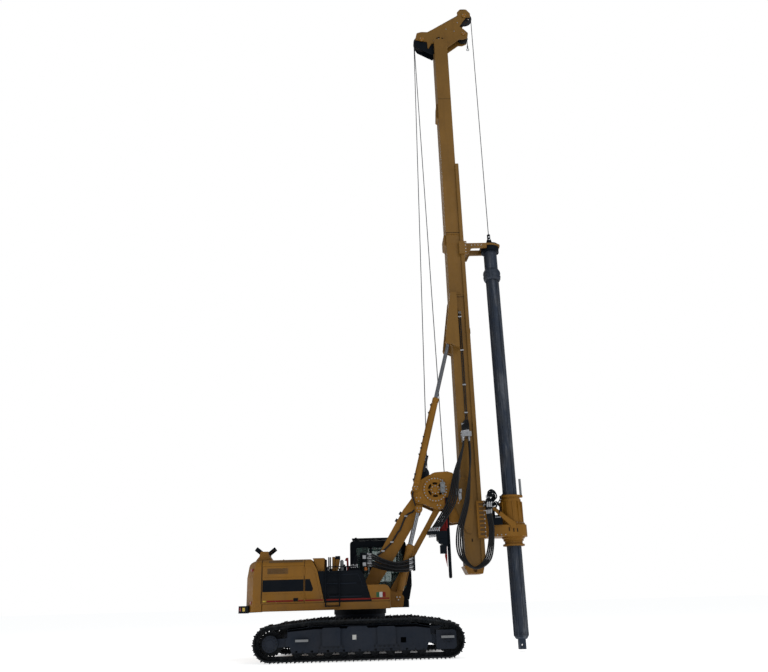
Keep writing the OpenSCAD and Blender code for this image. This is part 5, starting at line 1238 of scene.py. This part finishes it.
def drive_hydraulics():
    """Valve blocks, jumper hoses and fittings on the rotary drive."""
    black = Piece("drive_valves", "drive", BLACK)
    silver = Piece("drive_fittings", "drive", ZINC, 0.002)
    black.box((3.98, -0.45, 3.482), (4.25, -0.349, 3.76))
    black.box((3.80, -0.72, 4.168), (3.90, -0.40, 4.23))
    for k in range(7):
        x, y = 3.79 + 0.02 * k, -0.72 + 0.05 * k
        top = 4.36 + 0.06 * (k % 3)
        port_x, port_y = MOTOR_PORT_X + 0.05 * (k % 3) - 0.05, -0.15 if k % 2 else 0.15
        black.tube([(x, y, 4.225), (x + 0.03, y, top - 0.06), (x + 0.17, y + 0.05, top),
                    (port_x + 0.12, port_y, 4.34), (port_x + 0.03, port_y, 4.22), (port_x, port_y, 4.115)],
                   0.020, 10)
        silver.post(x, y, 4.229, 4.31, 0.026, 6)
    for k in range(3):
        y = -0.60 + 0.06 * k
        black.tube([(3.94, y, 3.99), (4.10, y, 4.05 + 0.05 * k), (4.2, -0.50, 3.95), (4.14, -0.42, 3.76)],
                   0.018, 10)
        silver.rod((3.938, y, 3.99), (3.99, y, 4.0), 0.026, 6)
        silver.stud((4.06 + 0.06 * k, 3.70), -0.45, -0.475, 0.022, 6)
        x = 3.80 + 0.055 * k
        silver.tube([(x, -0.772, 4.09), (x, -0.80, 4.10), (x - 0.015, -0.815, 4.06),
                     (x - 0.02, -0.815, 3.96)], 0.024, 10)
    black.tube([(4.12, -0.20, 4.02), (4.24, -0.30, 4.22), (4.30, -0.31, 4.34), (4.36, -0.30, 4.40)],
               0.016, 10)
    for y in (-0.15, 0.15):
        for dx in (-0.05, 0.0, 0.05):
            silver.post(MOTOR_PORT_X + dx, y, 4.118, 4.19, 0.026, 6)
    silver.rod((4.11, -0.18, 4.0), (4.15, -0.22, 4.06), 0.03, 6)
    for k in range(4):
        y = -0.62 + 0.05 * k
        silver.tube([(3.755, y, 4.05), (3.72, y, 4.06), (3.70, y, 4.0)], 0.022, 10)


def kelly_details():
    bolts = Piece("guide_bolts", "kelly_guide", ZINC, 0)
    bolts.bolt_circle((KELLY_X, 0, 12.83), UP, 0.26, 16, 0.012, 0.014)
    for s in SIDES:
        bolts.side_bolts([(RAIL_X, z) for z in (12.39, 12.51, 12.63, 12.73)], s, 0.4955, 0.013)
        bolts.side_bolts([(3.95 + 0.11 * k, 12.705) for k in range(4)], s, 0.33, 0.012)
    eye = Piece("swivel_eye", "kelly_guide", ZINC, 0.003)
    eye.stud((KELLY_X, 13.14), -0.075, 0.075, 0.028, 20)
    eye.ring((KELLY_X, 0, 13.03), UP, 0.075, 0.05, 0.03, 28)
    rings = Piece("kelly_rings", "kelly", KELLY, 0.003)
    for z in (11.62, 11.74):
        rings.ring((KELLY_X, 0, z), UP, 0.290, 0.276, 0.04, 48)
    for z in (0.42, 0.47):
        rings.ring((KELLY_X, 0, z), UP, 0.2185, 0.198, 0.02, 48)
    # Seam-shadow discs round the sleeve: painted shadow.
    marks = Piece("sleeve_dot_shadows", "drive_sleeve", SEAM_PAINTED_SHADOW, 0)
    for x, y, z in circle((KELLY_X, 0, 2.888), UP, 0.27, 12):
        marks.post(x, y, z, z + 0.0015, 0.02, 12)


# Main build

add_camera()
dress_nodes()
repaint_nodes()
deck_hoses()
mast_hoses()
drive_hoses()
ropes()
track_details()
frame_details()
house_details()
door_details()
roof_details()
tail_details()
tank_details()
valve_details()
cab_details()
seat()
linkage_details()
boom_pipes()
cylinder_details()
carrier_details()
mast_details()
head_details()
drive_details()
kelly_details()
for piece in PIECES:
    piece.done()


# Stage

SKY = 0.32
UNDER_SHADE = (0.34, 0.33, 1)
LAMPS = (
    ("key", (14, -22, 26), 1800, 14, (0.5, 0, 6)),
    ("fill", (-20, -14, 12), 550, 12, (0, 0, 4)),
    ("rim", (6, 20, 24), 1300, 12, (1, 0, 8)),
)


def add_floor():
    bpy.ops.mesh.primitive_plane_add(size=600, location=(-FRAME_X, 0.9, -0.001))
    floor = bpy.context.active_object
    floor.name = "floor"
    n = Nodes("floor_pale")
    n.color(n.mix(n.ramp(n.noise(0.8, 4.0), 0.3, 0.7), (0.82, 0.82, 0.81), (0.78, 0.78, 0.77)))
    n.set(Roughness=0.9, Specular_IOR_Level=0.0, Emission_Color=(1, 1, 1, 1))
    # The floor's glow falls off in a soft patch round and under the machine: a painted shadow.
    under = n.add("ShaderNodeTexGradient", gradient_type="SPHERICAL")
    n.link(n.coords(UNDER_SHADE), under.inputs["Vector"])
    glow = n.ramp(under.outputs["Fac"], 0.02, 0.3, 0.74, 0.05)
    n.link(glow, n.shader.inputs["Emission Strength"])
    floor.data.materials.append(n.mat)


def add_world():
    """Soft even light from all round, behind a plain white background."""
    world = bpy.data.worlds.new("studio")
    world.use_nodes = True
    tree = world.node_tree
    light = tree.nodes["Background"]
    light.inputs["Color"].default_value = (0.94, 0.97, 1.0, 1)
    light.inputs["Strength"].default_value = SKY
    seen = tree.nodes.new("ShaderNodeBackground")
    seen.inputs["Color"].default_value = (1, 1, 1, 1)
    path = tree.nodes.new("ShaderNodeLightPath")
    mix = tree.nodes.new("ShaderNodeMixShader")
    tree.links.new(path.outputs["Is Camera Ray"], mix.inputs[0])
    tree.links.new(light.outputs[0], mix.inputs[1])
    tree.links.new(seen.outputs[0], mix.inputs[2])
    tree.links.new(mix.outputs[0], tree.nodes["World Output"].inputs["Surface"])
    bpy.context.scene.world = world
    bpy.context.scene.view_settings.view_transform = "Standard"


def add_lamps():
    for name, pos, energy, size, aim in LAMPS:
        data = bpy.data.lights.new(name, "AREA")
        data.energy = energy
        data.size = size
        lamp = linked(name, data)
        lamp.location = pos
        lamp.rotation_euler = (Vector(aim) - Vector(pos)).to_track_quat("-Z", "Y").to_euler()


add_floor()
add_world()
add_lamps()
